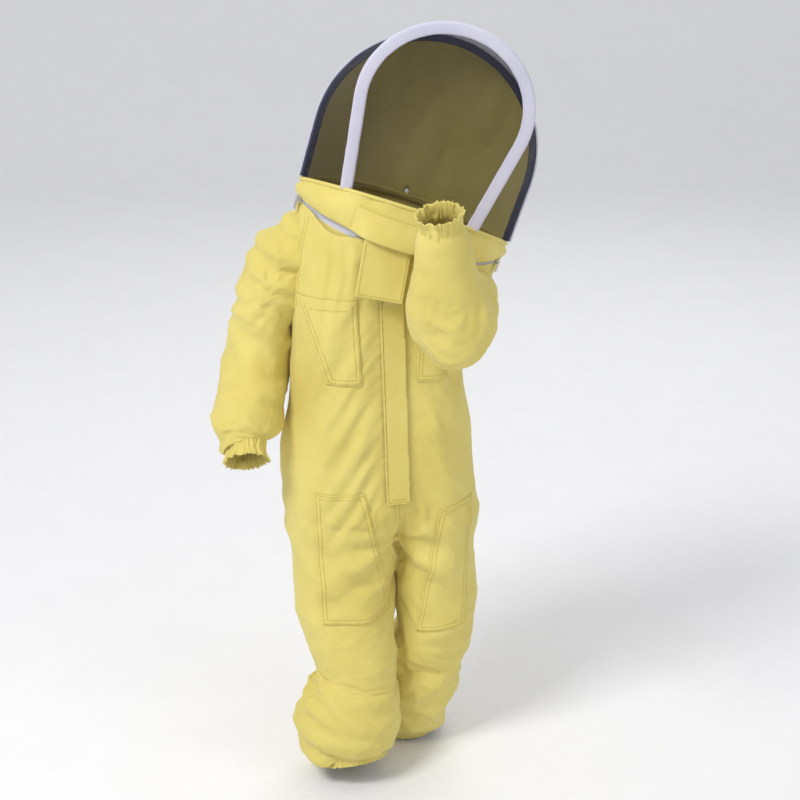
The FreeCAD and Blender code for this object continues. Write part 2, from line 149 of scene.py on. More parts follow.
def modify(piece, kind, **settings):
    """Add one modifier with its settings, and apply it."""
    modifier = piece.modifiers.new(kind, kind)
    for key, value in settings.items():
        setattr(modifier, key, value)
    apply_modifiers(piece)


def thicken(piece, thickness, offset=-1.0):
    """Give a sheet its thickness."""
    modify(piece, "SOLIDIFY", thickness=thickness, offset=offset, use_even_offset=False)


def tube_between(name, path, radii, material, sides=10, closed=False):
    """A tube along points; radii is one radius or a pair, across and through."""
    rows = []
    count = len(path)
    across, through = radii if isinstance(radii, tuple) else (radii, radii)
    side = None
    for i, point in enumerate(path):
        after = path[(i + 1) % count] if closed or i < count - 1 else point
        before = path[i - 1] if closed or i > 0 else point
        along = (Vector(after) - Vector(before)).normalized()
        if side is None:
            side = along.orthogonal().normalized()
        side = (side - along * side.dot(along)).normalized()
        other = along.cross(side)
        rows.append([Vector(point) + side * across * math.cos(a) + other * through * math.sin(a)
                     for a in (2 * math.pi * k / sides for k in range(sides))])
    if closed:
        rows.append(rows[0])
    return grid_object(name, rows, closed=True, material=material)


def tree_of(*pieces):
    """A search tree over the surfaces of some pieces."""
    work = bmesh.new()
    for piece in pieces:
        work.from_mesh(piece.data)
    tree = BVHTree.FromBMesh(work)
    work.free()
    return tree


# ---- materials ----
def node_material(name):
    """A new node material: its nodes, a function that adds nodes, its links and its main shader."""
    material = bpy.data.materials.new(name)
    material.use_nodes = True
    tree = material.node_tree
    shader = tree.nodes["Principled BSDF"]

    def add(kind, **inputs):
        node = tree.nodes.new(kind)
        for key, value in inputs.items():
            node.inputs[key.replace("_", " ")].default_value = value
        return node

    return material, add, tree.links, shader


def cloth_material(name, colour, dark, roughness, weave=900.0, crease=0.35, sheen=0.15):
    """Woven cotton: twill lines, small creases, and colour that varies over the cloth."""
    material, add, links, shader = node_material(name)
    place = add("ShaderNodeTexCoord")
    patches = add("ShaderNodeTexNoise", Scale=9.0, Detail=4.0, Roughness=0.6)
    fine = add("ShaderNodeTexNoise", Scale=420.0, Detail=2.0)
    tint = add("ShaderNodeValToRGB")
    tint.color_ramp.elements[0].color = (*dark, 1)
    tint.color_ramp.elements[1].color = (*colour, 1)
    tint.color_ramp.elements[0].position = 0.28
    tint.color_ramp.elements[1].position = 0.62
    links.new(place.outputs["Object"], patches.inputs["Vector"])
    links.new(place.outputs["Object"], fine.inputs["Vector"])
    links.new(patches.outputs["Fac"], tint.inputs["Fac"])
    twill = add("ShaderNodeTexWave", Scale=weave, Distortion=1.2, Detail=1.0)
    twill.bands_direction = "DIAGONAL"
    links.new(place.outputs["Object"], twill.inputs["Vector"])
    thread = add("ShaderNodeMix", Factor=0.12)
    thread.data_type = "RGBA"
    thread.blend_type = "MULTIPLY"
    links.new(tint.outputs["Color"], thread.inputs[6])
    links.new(twill.outputs["Color"], thread.inputs[7])
    links.new(thread.outputs[2], shader.inputs["Base Color"])
    creases = add("ShaderNodeTexNoise", Scale=38.0, Detail=5.0, Roughness=0.55, Distortion=0.6)
    links.new(place.outputs["Object"], creases.inputs["Vector"])
    big = add("ShaderNodeBump", Strength=crease, Distance=0.004)
    links.new(creases.outputs["Fac"], big.inputs["Height"])
    small = add("ShaderNodeBump", Strength=0.25, Distance=0.0004)
    links.new(twill.outputs["Fac"], small.inputs["Height"])
    links.new(big.outputs["Normal"], small.inputs["Normal"])
    tiny = add("ShaderNodeBump", Strength=0.15, Distance=0.0004)
    links.new(fine.outputs["Fac"], tiny.inputs["Height"])
    links.new(small.outputs["Normal"], tiny.inputs["Normal"])
    links.new(tiny.outputs["Normal"], shader.inputs["Normal"])
    shader.inputs["Roughness"].default_value = roughness
    shader.inputs["Sheen Weight"].default_value = sheen
    shader.inputs["Sheen Roughness"].default_value = 0.5
    shader.inputs["Specular IOR Level"].default_value = 0.2
    return material


def veil_material():
    """Dark netting, seen as a fine open grid."""
    material, add, links, shader = node_material("veil_net")
    place = add("ShaderNodeTexCoord")
    turn = add("ShaderNodeMapping")
    turn.inputs["Rotation"].default_value = (0.3, math.radians(18), 0.0)
    links.new(place.outputs["Object"], turn.inputs["Vector"])
    threads = []
    for axis in ("X", "Z"):
        wave = add("ShaderNodeTexWave", Scale=330.0, Distortion=0.3)
        wave.bands_direction = axis
        links.new(turn.outputs["Vector"], wave.inputs["Vector"])
        threads.append(wave)
    most = add("ShaderNodeMath")
    most.operation = "MAXIMUM"
    links.new(threads[0].outputs["Fac"], most.inputs[0])
    links.new(threads[1].outputs["Fac"], most.inputs[1])
    cover = add("ShaderNodeMapRange")
    cover.inputs["From Min"].default_value = 0.35
    cover.inputs["From Max"].default_value = 0.95
    cover.inputs["To Min"].default_value = 0.38
    cover.inputs["To Max"].default_value = 0.62
    links.new(most.outputs[0], cover.inputs["Value"])
    links.new(cover.outputs["Result"], shader.inputs["Alpha"])
    shade = add("ShaderNodeTexNoise", Scale=14.0, Detail=3.0)
    links.new(place.outputs["Object"], shade.inputs["Vector"])
    tint = add("ShaderNodeValToRGB")
    tint.color_ramp.elements[0].color = (0.004, 0.004, 0.008, 1)
    tint.color_ramp.elements[1].color = (0.014, 0.014, 0.026, 1)
    links.new(shade.outputs["Fac"], tint.inputs["Fac"])
    links.new(tint.outputs["Color"], shader.inputs["Base Color"])
    shader.inputs["Roughness"].default_value = 0.55
    shader.inputs["Specular IOR Level"].default_value = 0.3
    return material


def metal_material(name, colour, roughness):
    """Worn plated metal."""
    material, add, links, shader = node_material(name)
    place = add("ShaderNodeTexCoord")
    scratches = add("ShaderNodeTexNoise", Scale=600.0, Detail=4.0)
    links.new(place.outputs["Object"], scratches.inputs["Vector"])
    spread = add("ShaderNodeMapRange")
    spread.inputs["To Min"].default_value = roughness * 0.7
    spread.inputs["To Max"].default_value = roughness * 1.6
    links.new(scratches.outputs["Fac"], spread.inputs["Value"])
    links.new(spread.outputs["Result"], shader.inputs["Roughness"])
    shader.inputs["Base Color"].default_value = (*colour, 1)
    shader.inputs["Metallic"].default_value = 1.0
    return material


COTTON = cloth_material("yellow_cotton", (0.77, 0.655, 0.195), (0.69, 0.57, 0.145), 0.85)
COTTON_FLAT = cloth_material("yellow_cotton_flat", (0.79, 0.67, 0.205), (0.72, 0.60, 0.160), 0.85, crease=0.18)
THREAD = cloth_material("yellow_thread", (0.62, 0.50, 0.09), (0.52, 0.42, 0.07), 0.8, weave=1500, crease=0.0)
BINDING = cloth_material("white_binding", (0.66, 0.65, 0.76), (0.58, 0.57, 0.69), 0.8, weave=700, crease=0.2)
TAPE = cloth_material("white_tape", (0.78, 0.78, 0.84), (0.70, 0.70, 0.78), 0.8, weave=1100, crease=0.1)
COIL = cloth_material("nylon_coil", (0.80, 0.80, 0.86), (0.66, 0.66, 0.74), 0.45, weave=1300, crease=0.0)
NAVY = cloth_material("navy_edge", (0.070, 0.074, 0.110), (0.045, 0.048, 0.08), 0.8, weave=900, crease=0.1)
NAP = cloth_material("hook_and_loop", (0.70, 0.60, 0.22), (0.60, 0.50, 0.16), 0.95, weave=300, crease=0.1)
VEIL = veil_material()
METAL = metal_material("plated_metal", (0.72, 0.70, 0.66), 0.28)
WIRE = metal_material("dark_wire", (0.10, 0.10, 0.11), 0.4)


# ---- the suit's base shape: rings along the torso, sleeves and legs ----
def collar_reach(angle, grow=0.0):
    """Distance from the collar's middle to its outline in a direction, in the hood's frame."""
    reach = []
    for radius, centre in (COLLAR_FRONT, COLLAR_REAR):
        toward = math.sin(angle) * centre
        reach.append(toward + math.sqrt(toward ** 2 + (radius + grow) ** 2 - centre ** 2))
    return min(reach)


def collar_point(angle, height, grow=0.0):
    """A point on the collar's outline, in the suit's frame."""
    reach = collar_reach(angle, grow)
    return HOOD @ Vector((reach * math.cos(angle), reach * math.sin(angle), height))


RING = 64


def body_ring(place, height, half, front, back, middle=0.0, power=2.6):
    """One closed ring of the torso, a superellipse with its own front and back depth."""
    ring = []
    for k in range(RING):
        a = 2 * math.pi * k / RING
        c, s = math.cos(a), math.sin(a)
        x = half * math.copysign(abs(c) ** (2 / power), c)
        y = (back if s > 0 else front) * math.copysign(abs(s) ** (2 / power), s)
        ring.append(place @ Vector((middle + x, y, height)))
    return ring


def limb_rings(stations):
    """Rings across a limb; a station is its centre, half width across and half depth."""
    rings = []
    centres = [Vector(s[0]) for s in stations]
    for i, (centre, across, deep) in enumerate(stations):
        after = centres[min(i + 1, len(centres) - 1)]
        before = centres[max(i - 1, 0)]
        along = (after - before).normalized()
        side = Vector((1, 0, 0))
        side = (side - along * side.dot(along)).normalized()
        other = along.cross(side)
        rings.append([Vector(centre) + side * across * math.cos(a) + other * deep * math.sin(a)
                      for a in (2 * math.pi * k / RING for k in range(RING))])
    return rings


def closed_tube(name, rings):
    """A capped tube through rings."""
    points = [p for ring in rings for p in ring]
    faces = grid_faces(len(rings), RING, True)
    faces.append(tuple(reversed(range(RING))))
    faces.append(tuple(range(len(points) - RING, len(points))))
    return mesh_from(name, points, faces)


# centre, half width, half depth of each station, in metres
TORSO_LEVELS = [(-0.436, 0.118, 0.070, 0.066), (-0.404, 0.138, 0.090, 0.078), (-0.310, 0.133, 0.092, 0.078),
                (-0.250, 0.125, 0.092, 0.078), (-0.200, 0.118, 0.092, 0.078), (-0.110, 0.120, 0.092, 0.078)]
SLEEVES = {
    "right": [((-0.106, 0.002, -0.040), 0.044, 0.044), ((-0.136, 0.002, -0.045), 0.058, 0.052),
              ((-0.165, 0.004, -0.080), 0.055, 0.050), ((-0.188, 0.010, -0.125), 0.043, 0.046),
              ((-0.197, 0.014, -0.152), 0.040, 0.045), ((-0.203, 0.016, -0.185), 0.047, 0.047),
              ((-0.206, 0.010, -0.216), 0.048, 0.047), ((-0.207, -0.014, -0.240), 0.042, 0.044),
              ((-0.214, -0.036, -0.262), 0.045, 0.042), ((-0.221, -0.056, -0.284), 0.042, 0.038),
              ((-0.220, -0.072, -0.300), 0.034, 0.033), ((-0.218, -0.084, -0.313), 0.0275, 0.0275)],
    "left": [((0.080, 0.016, -0.100), 0.042, 0.042), ((0.081, -0.030, -0.101), 0.044, 0.045),
             ((0.077, -0.075, -0.106), 0.047, 0.050), ((0.068, -0.115, -0.112), 0.051, 0.054),
             ((0.062, -0.146, -0.106), 0.057, 0.053), ((0.058, -0.162, -0.078), 0.056, 0.046),
             ((0.056, -0.170, -0.050), 0.047, 0.043), ((0.054, -0.178, -0.022), 0.040, 0.038),
             ((0.052, -0.186, 0.004), 0.038, 0.035), ((0.050, -0.192, 0.020), 0.034, 0.032),
             ((0.048, -0.196, 0.033), 0.0275, 0.0275)],
}
LEGS = {
    "right": [((-0.094, -0.008, -0.380), 0.070, 0.078), ((-0.088, -0.014, -0.425), 0.080, 0.078),
              ((-0.090, -0.018, -0.462), 0.076, 0.076),
              ((-0.087, -0.024, -0.500), 0.076, 0.072), ((-0.087, -0.036, -0.560), 0.069, 0.068),
              ((-0.080, -0.048, -0.605), 0.065, 0.066), ((-0.068, -0.056, -0.642), 0.060, 0.064),
              ((-0.066, -0.064, -0.676), 0.054, 0.062), ((-0.074, -0.072, -0.704), 0.064, 0.066),
              ((-0.078, -0.080, -0.732), 0.072, 0.068), ((-0.079, -0.086, -0.756), 0.071, 0.066),
              ((-0.076, -0.092, -0.774), 0.060, 0.058), ((-0.074, -0.096, -0.786), 0.050, 0.049)],
    "left": [((0.034, 0.008, -0.380), 0.066, 0.074), ((0.042, 0.008, -0.425), 0.065, 0.074),
             ((0.050, 0.008, -0.462), 0.058, 0.072),
             ((0.052, 0.006, -0.500), 0.057, 0.070), ((0.052, 0.006, -0.560), 0.057, 0.067),
             ((0.050, 0.008, -0.605), 0.058, 0.065), ((0.043, 0.012, -0.645), 0.058, 0.062),
             ((0.029, 0.018, -0.684), 0.053, 0.058), ((0.026, 0.022, -0.716), 0.060, 0.062),
             ((0.016, 0.026, -0.742), 0.056, 0.060), ((0.010, 0.029, -0.768), 0.052, 0.056),
             ((0.010, 0.030, -0.788), 0.046, 0.046), ((0.012, 0.031, -0.800), 0.042, 0.042)],
}
NECK_CUT = -0.003                       # the suit's top edge, in the hood's frame
SAG_MIDDLE = -139.0                     # where that edge sags and shows the white facing, in degrees
SAG_HALF = 25.0
SAG_DEPTH = 0.012


def base_parts():
    """Closed tubes of the torso, the sleeves and the legs."""
    levels = [body_ring(BODY, z, half, front, back) for z, half, front, back in TORSO_LEVELS]
    levels.append(body_ring(HOOD, -0.036, 0.138, 0.098, 0.080, power=2.3))
    for height in (-0.012, 0.045):
        levels.append([collar_point(2 * math.pi * k / RING, height) for k in range(RING)])
    parts = {"torso": closed_tube("base_torso", levels)}
    for side in ("right", "left"):
        parts["sleeve_" + side] = closed_tube("base_sleeve", limb_rings(SLEEVES[side]))
        parts["leg_" + side] = closed_tube("base_leg", limb_rings(LEGS[side]))
    return parts


def part_of(face, layer):
    """Index of the tube that most of a face belongs to."""
    total = {}
    for vert in face.verts:
        for group, weight in vert[layer].items():
            total[group] = total.get(group, 0.0) + weight
    return max(total, key=total.get) if total else 0


def cut_plane(work, faces, point, normal, clear=False):
    """Cut faces by a plane, and with clear remove what lies beyond it."""
    edges = {e for f in faces for e in f.edges}
    verts = {v for f in faces for v in f.verts}
    bmesh.ops.bisect_plane(work, geom=list(verts) + list(edges) + list(faces), dist=1e-5,
                           plane_co=point, plane_no=normal, clear_outer=clear)


def cut_ends(skin):
    """Open the skin at the neck, the armholes, the cuffs and the hems."""
    names = [g.name for g in skin.vertex_groups]
    work = bmesh.new()
    work.from_mesh(skin.data)
    layer = work.verts.layers.deform.verify()
    faces = [f for f in work.faces if names[part_of(f, layer)] == "torso"]
    cut_plane(work, faces, HOOD @ Vector((0, 0, NECK_CUT)), HOOD.to_3x3() @ Vector((0, 0, 1)), clear=True)
    for kind, limbs in (("sleeve_", SLEEVES), ("leg_", LEGS)):
        for side, stations in limbs.items():
            index = names.index(kind + side)
            ends = [(stations[-1], stations[-2])]
            if kind == "sleeve_":
                ends.append((stations[0], stations[1]))
            for last, before in ends:
                tip = Vector(last[0])
                along = (tip - Vector(before[0])).normalized()
                faces = [f for f in work.faces if part_of(f, layer) == index
                         and (f.calc_center_median() - tip).length < 0.09]
                cut_plane(work, faces, tip - along * 0.003, along, clear=True)
    bmesh.ops.dissolve_degenerate(work, dist=1e-4, edges=work.edges)
    for vert in work.verts if "torso" in skin.name or "body" in skin.name else ():
        local = HOOD.inverted() @ vert.co
        at_edge = smooth(1 + (local.z - NECK_CUT) / 0.016)
        if local.z > NECK_CUT - 0.05 and at_edge > 0:
            angle = math.atan2(local.y, local.x)
            reach = mix(math.hypot(local.x, local.y), collar_reach(angle), at_edge)
            local.x, local.y = reach * math.cos(angle), reach * math.sin(angle)
        round_front = abs(math.degrees(math.atan2(local.y, local.x)) - SAG_MIDDLE) / SAG_HALF
        near_top = smooth(1 + (local.z - NECK_CUT) / 0.05)
        if round_front < 1 and near_top > 0:
            local.z -= SAG_DEPTH * smooth(1 - round_front) * near_top
        vert.co = HOOD @ local
    work.to_mesh(skin.data)
    work.free()


def make_base(name, parts, trees):
    """One skin over some of the tubes, open at its ends."""
    skin = mesh_from("skin_" + name, [], [])
    work = bmesh.new()
    for part in parts.values():
        work.from_mesh(part.data)
        bpy.data.objects.remove(part)
    work.to_mesh(skin.data)
    work.free()
    modify(skin, "REMESH", mode="VOXEL", voxel_size=VOXEL, use_smooth_shade=True)
    modify(skin, "SMOOTH", factor=0.5, iterations=5)
    names = list(trees)
    for part in names:
        skin.vertex_groups.new(name=part)
    for vertex in skin.data.vertices:
        near = min(parts, key=lambda n: trees[n].find_nearest(vertex.co)[3])
        skin.vertex_groups[near].add([vertex.index], 1.0, "REPLACE")
    cut_ends(skin)
    return skin


def open_edges(piece):
    """Indices of the vertices on open edges."""
    count = {}
    for polygon in piece.data.polygons:
        for key in polygon.edge_keys:
            count[key] = count.get(key, 0) + 1
    return {i for key, n in count.items() if n == 1 for i in key}


# ---- folds ----
CROTCH = Vector((-0.020, -0.050, -0.440))
WAIST_GATHER = 0.017                    # spacing of the gathers over the back waist elastic


def ridge(value):
    """A soft ridge from a wave between -1 and 1: narrow crests, wide valleys."""
    return 0.7 - 2.0 * abs(value) ** 0.8


def streaks(point, scales, seed):
    """Noise stretched differently along three directions."""
    return noise.noise(Vector((point.x * scales[0] + seed, point.y * scales[1], point.z * scales[2])))


def fold_height(point, part):
    """How far the cloth stands out of its base shape here, in metres."""
    height = 0.0
    if part.startswith("leg"):
        low = smooth((-0.600 - point.z) / 0.08)
        tilt = 0.25 * point.x if part.endswith("right") else -0.3 * point.x
        bend = Vector((point.x, point.y, point.z + tilt))
        lean = Vector((point.x + 0.5 * point.z * (1 if point.x < -0.02 else -1), point.y, point.z))
        height += 0.0120 * low * ridge(streaks(bend, (8, 8, 30), 3.1))
        height += 0.0055 * low * ridge(streaks(bend, (15, 15, 46), 5.6))
        height += 0.0075 * (1 - low) * ridge(streaks(lean, (11, 9, 9), 8.7))
        away = point - CROTCH
        near = smooth((0.19 - away.length) / 0.12) * smooth((-0.385 - point.z) / 0.03)
        height += 0.0065 * near * math.sin(math.atan2(away.z, abs(away.x) + 0.01) * 9)
    elif part.startswith("sleeve"):
        side = part.split("_")[1]
        elbow = JOINT_AT["elbow_" + side]
        axis = (elbow - JOINT_AT["shoulder_" + side]).normalized()
        along = (point - elbow).dot(axis)
        twist = point + axis * along * 2.6
        seed = 5.2 if side == "right" else 2.6
        height += 0.0110 * ridge(streaks(twist, (8, 8, 8), seed))
        height += 0.0045 * ridge(streaks(twist, (17, 17, 17), seed + 3))
    else:
        height += 0.0080 * ridge(streaks(point, (12, 9, 4.5), 2.3)) * smooth((-0.09 - point.z) / 0.08)
        lean = Vector((point.x - 0.6 * point.z, point.y, point.z + 0.4 * point.x))
        height += 0.0055 * ridge(streaks(lean, (16, 8, 8), 6.1)) * smooth((-0.16 - point.z) / 0.08)
        local = BODY.inverted() @ point
        if local.y > 0.02:
            drawn = math.exp(-((local.z + 0.258) / 0.020) ** 2) * smooth((0.085 - abs(local.x)) / 0.03)
            height += drawn * (0.0030 * math.sin(local.x * 2 * math.pi / WAIST_GATHER) - 0.0085)
    return height


def quiet(point):
    """1 where the cloth is free to fold, 0 where zip, flap or neck hold it flat."""
    local = ZIP.inverted() @ point
    over_zip = smooth((abs(local.x - 0.002) - 0.012) / 0.03) if local.y < 0 and local.z > -0.40 else 1.0
    up = (HOOD.inverted() @ point).z
    return over_zip * smooth((NECK_CUT - up) / 0.03)


def shape_folds(skin):
    """Stand the folds out along the normals."""
    names = [g.name for g in skin.vertex_groups]
    moves = []
    for vertex in skin.data.vertices:
        part = names[vertex.groups[0].group]
        moves.append(vertex.normal * fold_height(vertex.co, part) * quiet(vertex.co))
    for vertex, move in zip(skin.data.vertices, moves):
        vertex.co += move
    skin.data.update()


def simulate(skin, steps, growth, cap):
    """Let the cloth buckle over an inner body: it is a little too large for the space it has."""
    before = [v.co.copy() for v in skin.data.vertices]
    inner = new_object("inner_body", skin.data.copy())
    for vertex in inner.data.vertices:
        vertex.co -= vertex.normal * 0.005
    inner.modifiers.new("hit", "COLLISION")
    inner.collision.thickness_outer = 0.002
    inner.collision.cloth_friction = 12
    held = skin.vertex_groups.new(name="held")
    edge = open_edges(skin)
    held.add(list(edge), 1.0, "REPLACE")
    for vertex in skin.data.vertices:
        if vertex.index not in edge:
            grip = 1.0 - quiet(vertex.co)
            if grip > 0.02:
                held.add([vertex.index], grip, "REPLACE")
    cloth = skin.modifiers.new("cloth", "CLOTH")
    settings = cloth.settings
    settings.quality = 5
    settings.mass = 0.25
    settings.tension_stiffness = 12
    settings.compression_stiffness = 12
    settings.shear_stiffness = 6
    settings.bending_stiffness = 0.35
    settings.tension_damping = 8
    settings.compression_damping = 8
    settings.air_damping = 2
    settings.vertex_group_mass = "held"
    settings.shrink_min = -growth
    cloth.collision_settings.use_self_collision = False
    cloth.collision_settings.distance_min = 0.002
    cloth.point_cache.frame_start = 1
    cloth.point_cache.frame_end = steps
    for frame_number in range(1, steps + 1):
        SCENE.frame_set(frame_number)
    apply_modifiers(skin)
    SCENE.frame_set(1)
    bpy.data.objects.remove(inner)
    for vertex, start in zip(skin.data.vertices, before):
        move = vertex.co - start
        if move.length > cap:
            vertex.co = start + move * (cap / move.length)
    skin.vertex_groups.remove(skin.vertex_groups["held"])


def make_skins():
    """The cloth of the body and of each sleeve, folded; the sleeves' tops sit inside the body's."""
    parts = base_parts()
    trees = {name: tree_of(part) for name, part in parts.items()}
    skins = {}
    for name, wanted in (("body", ("torso", "leg_right", "leg_left")), ("sleeve_right", ("sleeve_right",)),
                         ("sleeve_left", ("sleeve_left",))):
        skin = make_base(name, {k: parts[k] for k in wanted}, trees)
        shape_folds(skin)
        simulate(skin, CLOTH_STEPS, 0.10, 0.014)
        modify(skin, "SMOOTH", factor=0.4, iterations=2)
        modify(skin, "SUBSURF", levels=1, render_levels=1)
        skins[name] = skin
    return skins


SKINS = make_skins()


# ---- pieces cut from the skin ----
HIP_DOWN = 0.8                          # how steeply the leg pieces' upper edge slants
HIP_OUT = 0.6
HIP_EDGE = 0.348
LEG_SPLIT = 0.435
ARM_RIGHT = (JOINT_AT["elbow_right"] - JOINT_AT["shoulder_right"]).normalized()
SLANT_RIGHT = Vector((-0.55, 0.0, -0.835)).normalized()
SPLIT_RIGHT = 0.125                     # where the sleeves divide into an upper and a lower piece
SPLIT_LEFT = 0.135
SLANT_LEFT = Vector((0.7, -0.7, 0.0)).normalized()
ELBOW_TURN_LEFT = Vector((-0.11, -0.76, 0.64)).normalized()


def hip_axis(sign):
    """The direction, in the suit's frame, along which a leg leaves the hips."""
    return BODY.to_3x3() @ Vector((sign * HIP_OUT, 0, -HIP_DOWN))


def hip_reach(point, sign):
    """How far down and out a point is from the waist's middle."""
    return hip_axis(sign).dot(point - BODY.translation)


def region_of(centre, part):
    """The piece that a face of the skin belongs to."""
    side = -1 if (BODY.inverted() @ centre).x < 0 else 1
    if part.startswith("leg"):
        side = -1 if part == "leg_right" else 1
    if part == "torso" or part.startswith("leg"):
        reach = hip_reach(centre, side)
        if reach < HIP_EDGE:
            return "torso_cloth"
        name = "right" if side < 0 else "left"
        return ("leg_upper_" if reach < LEG_SPLIT else "leg_lower_") + name
    if part == "sleeve_right":
        lower = (centre - JOINT_AT["shoulder_right"]).dot(SLANT_RIGHT) > SPLIT_RIGHT
        return "sleeve_lower_right" if lower else "sleeve_upper_right"
    return "sleeve_lower_left" if SLANT_LEFT.dot(centre) > SPLIT_LEFT else "sleeve_upper_left"


def split_skin(skin):
    """Cut the skin into its pieces, which keep the whole skin's normals so that no seam shows."""
    names = [g.name for g in skin.vertex_groups]
    work = bmesh.new()
    work.from_mesh(skin.data)
    layer = work.verts.layers.deform.verify()

    def faces_of(*parts):
        return [f for f in work.faces if names[part_of(f, layer)] in parts]

    for sign, side in ((-1, "right"), (1, "left")):
        for reach in (HIP_EDGE, LEG_SPLIT):
            faces = [f for f in faces_of("torso", "leg_" + side)
                     if (BODY.inverted() @ f.calc_center_median()).x * sign > -0.01
                     or names[part_of(f, layer)] == "leg_" + side]
            point = BODY.translation + hip_axis(sign) * reach / hip_axis(sign).length_squared
            cut_plane(work, faces, point, hip_axis(sign))
    cut_plane(work, faces_of("sleeve_right"), JOINT_AT["shoulder_right"] + SLANT_RIGHT * SPLIT_RIGHT, SLANT_RIGHT)
    cut_plane(work, faces_of("sleeve_left"), SLANT_LEFT * SPLIT_LEFT, SLANT_LEFT)
    bmesh.ops.dissolve_degenerate(work, dist=1e-5, edges=work.edges)
    work.normal_update()
    regions = {}
    for face in work.faces:
        region = region_of(face.calc_center_median(), names[part_of(face, layer)])
        regions.setdefault(region, []).append(face)
    pieces = {}
    for name, faces in regions.items():
        index = {}
        points, normals, polygons = [], [], []
        for face in faces:
            polygon = []
            for vert in face.verts:
                if vert.index not in index:
                    index[vert.index] = len(points)
                    points.append(vert.co.copy())
                    normals.append(vert.normal.copy())
                polygon.append(index[vert.index])
            polygons.append(polygon)
        piece = mesh_from(name, points, polygons, COTTON)
        piece.data.normals_split_custom_set_from_vertices([tuple(n) for n in normals])
        pieces[name] = piece
    work.free()
    return pieces


def carve(skin, name, place, corners, parts, lift, thickness, least=None):
    """A patch of the skin's front inside four corners, lifted off it and thickened; least is a plane it clears."""
    names = [g.name for g in skin.vertex_groups]
    work = bmesh.new()
    work.from_mesh(skin.data)
    layer = work.verts.layers.deform.verify()
    turn = place.to_3x3()
    front = turn @ Vector((0, -1, 0))
    wrong = [f for f in work.faces if f.normal.dot(front) < 0.05 or names[part_of(f, layer)] not in parts]
    bmesh.ops.delete(work, geom=wrong, context="FACES")
    for (x, z), (next_x, next_z) in zip(corners, corners[1:] + corners[:1]):
        out = turn @ Vector((z - next_z, 0, next_x - x))
        cut_plane(work, list(work.faces), place @ Vector((x, 0, z)), out.normalized(), clear=True)
    bmesh.ops.dissolve_degenerate(work, dist=1e-4, edges=work.edges)
    work.normal_update()
    for vertex in work.verts:
        vertex.co += vertex.normal * lift
        local = place.inverted() @ vertex.co
        if least is not None and local.y > least:
            vertex.co = place @ Vector((local.x, least, local.z))
    piece = new_object(name, bpy.data.meshes.new(name))
    work.to_mesh(piece.data)
    work.free()
    piece.vertex_groups.clear()
    piece.data.materials.clear()
    piece.data.materials.append(COTTON)
    thicken(piece, thickness, offset=1.0)
    piece.data.polygons.foreach_set("use_smooth", [True] * len(piece.data.polygons))
    return piece


STITCH = 0.0030
STITCH_PITCH = 0.0042
STITCH_R = 0.00045


def stitches(name, tree, lines, toward, material=None):
    """Thread dashes along lines, dropped onto a surface in a direction."""
    points, faces = [], []
    toward = Vector(toward).normalized()
    for line in lines:
        line = [Vector(p) for p in line]
        for start, end in zip(line, line[1:]):
            run = end - start
            count = max(1, int(run.length / STITCH_PITCH))
            for k in range(count):
                ends = []
                for t in (k / count, (k + STITCH / STITCH_PITCH) / count):
                    place, normal, _, _ = tree.ray_cast(start + run * t - toward * 0.30, toward)
                    if place is not None:
                        ends.append((place, normal))
                if len(ends) < 2 or (ends[1][0] - ends[0][0]).length > 2.2 * STITCH:
                    continue
                along = (ends[1][0] - ends[0][0]).normalized()
                base = len(points)
                for place, normal in (ends[0], ends[1]):
                    side = along.cross(normal).normalized()
                    for angle in range(0, 360, 72):
                        a = math.radians(angle)
                        points.append(place + normal * (0.0001 + STITCH_R * math.sin(a))
                                      + side * STITCH_R * math.cos(a))
                for m in range(5):
                    n = (m + 1) % 5
                    faces.append((base + m, base + n, base + 5 + n, base + 5 + m))
                faces.append(tuple(base + m for m in (4, 3, 2, 1, 0)))
                faces.append(tuple(base + 5 + m for m in range(5)))
    return mesh_from(name, points, faces, material or THREAD)


def edge_lines(place, corners, insets, sides="trbl"):
    """Lines just inside the top, right, bottom and left edges of a patch's four corners."""
    lines = []
    middle = Vector((sum(x for x, _ in corners) / 4, sum(z for _, z in corners) / 4))
    for inset in insets:
        inner = []
        for x, z in corners:
            corner = Vector((x, z))
            inward = middle - corner
            inner.append(corner + Vector((math.copysign(inset, inward.x), math.copysign(inset, inward.y))))
        for k, side in enumerate("trbl"):
            if side in sides:
                ends = (inner[k], inner[(k + 1) % 4])
                lines.append([place @ Vector((p.x, 0, p.y)) for p in ends])
    return lines


def box_corners(x_low, x_high, z_low, z_high):
    """Four corners in x and z, clockwise from the top left."""
    return [(x_low, z_high), (x_high, z_high), (x_high, z_low), (x_low, z_low)]


def front_of(place):
    """The direction into the cloth, seen from the front."""
    return place.to_3x3() @ Vector((0, 1, 0))


PIECES = {}
for skin in SKINS.values():
    PIECES.update(split_skin(skin))
FRONT = front_of(BODY)

# chest pockets, fly and knee patches: corners in x and z of their own frames, clockwise from the top left
POCKETS = {"right": [(-0.118, -0.096), (-0.043, -0.093), (-0.038, -0.212), (-0.084, -0.213)],
           "left": [(0.043, -0.093), (0.108, -0.096), (0.084, -0.213), (0.038, -0.212)]}
FLY = box_corners(-0.0165, 0.017, -0.391, -0.066)
PATCHES = {"right": [(-0.104, -0.374), (-0.034, -0.374), (0.008, -0.568), (-0.096, -0.572)],
           "left": [(0.073, -0.406), (0.126, -0.398), (0.118, -0.598), (0.044, -0.606)]}


def add_patch(name, place, corners, parts, lift, thickness, lines, least=None):
    """A patch and its stitches."""
    patch = carve(SKINS["body"], name, place, corners, parts, lift, thickness, least)
    thread = stitches(name + "_stitches", tree_of(patch), lines, front_of(place))
    return patch, thread


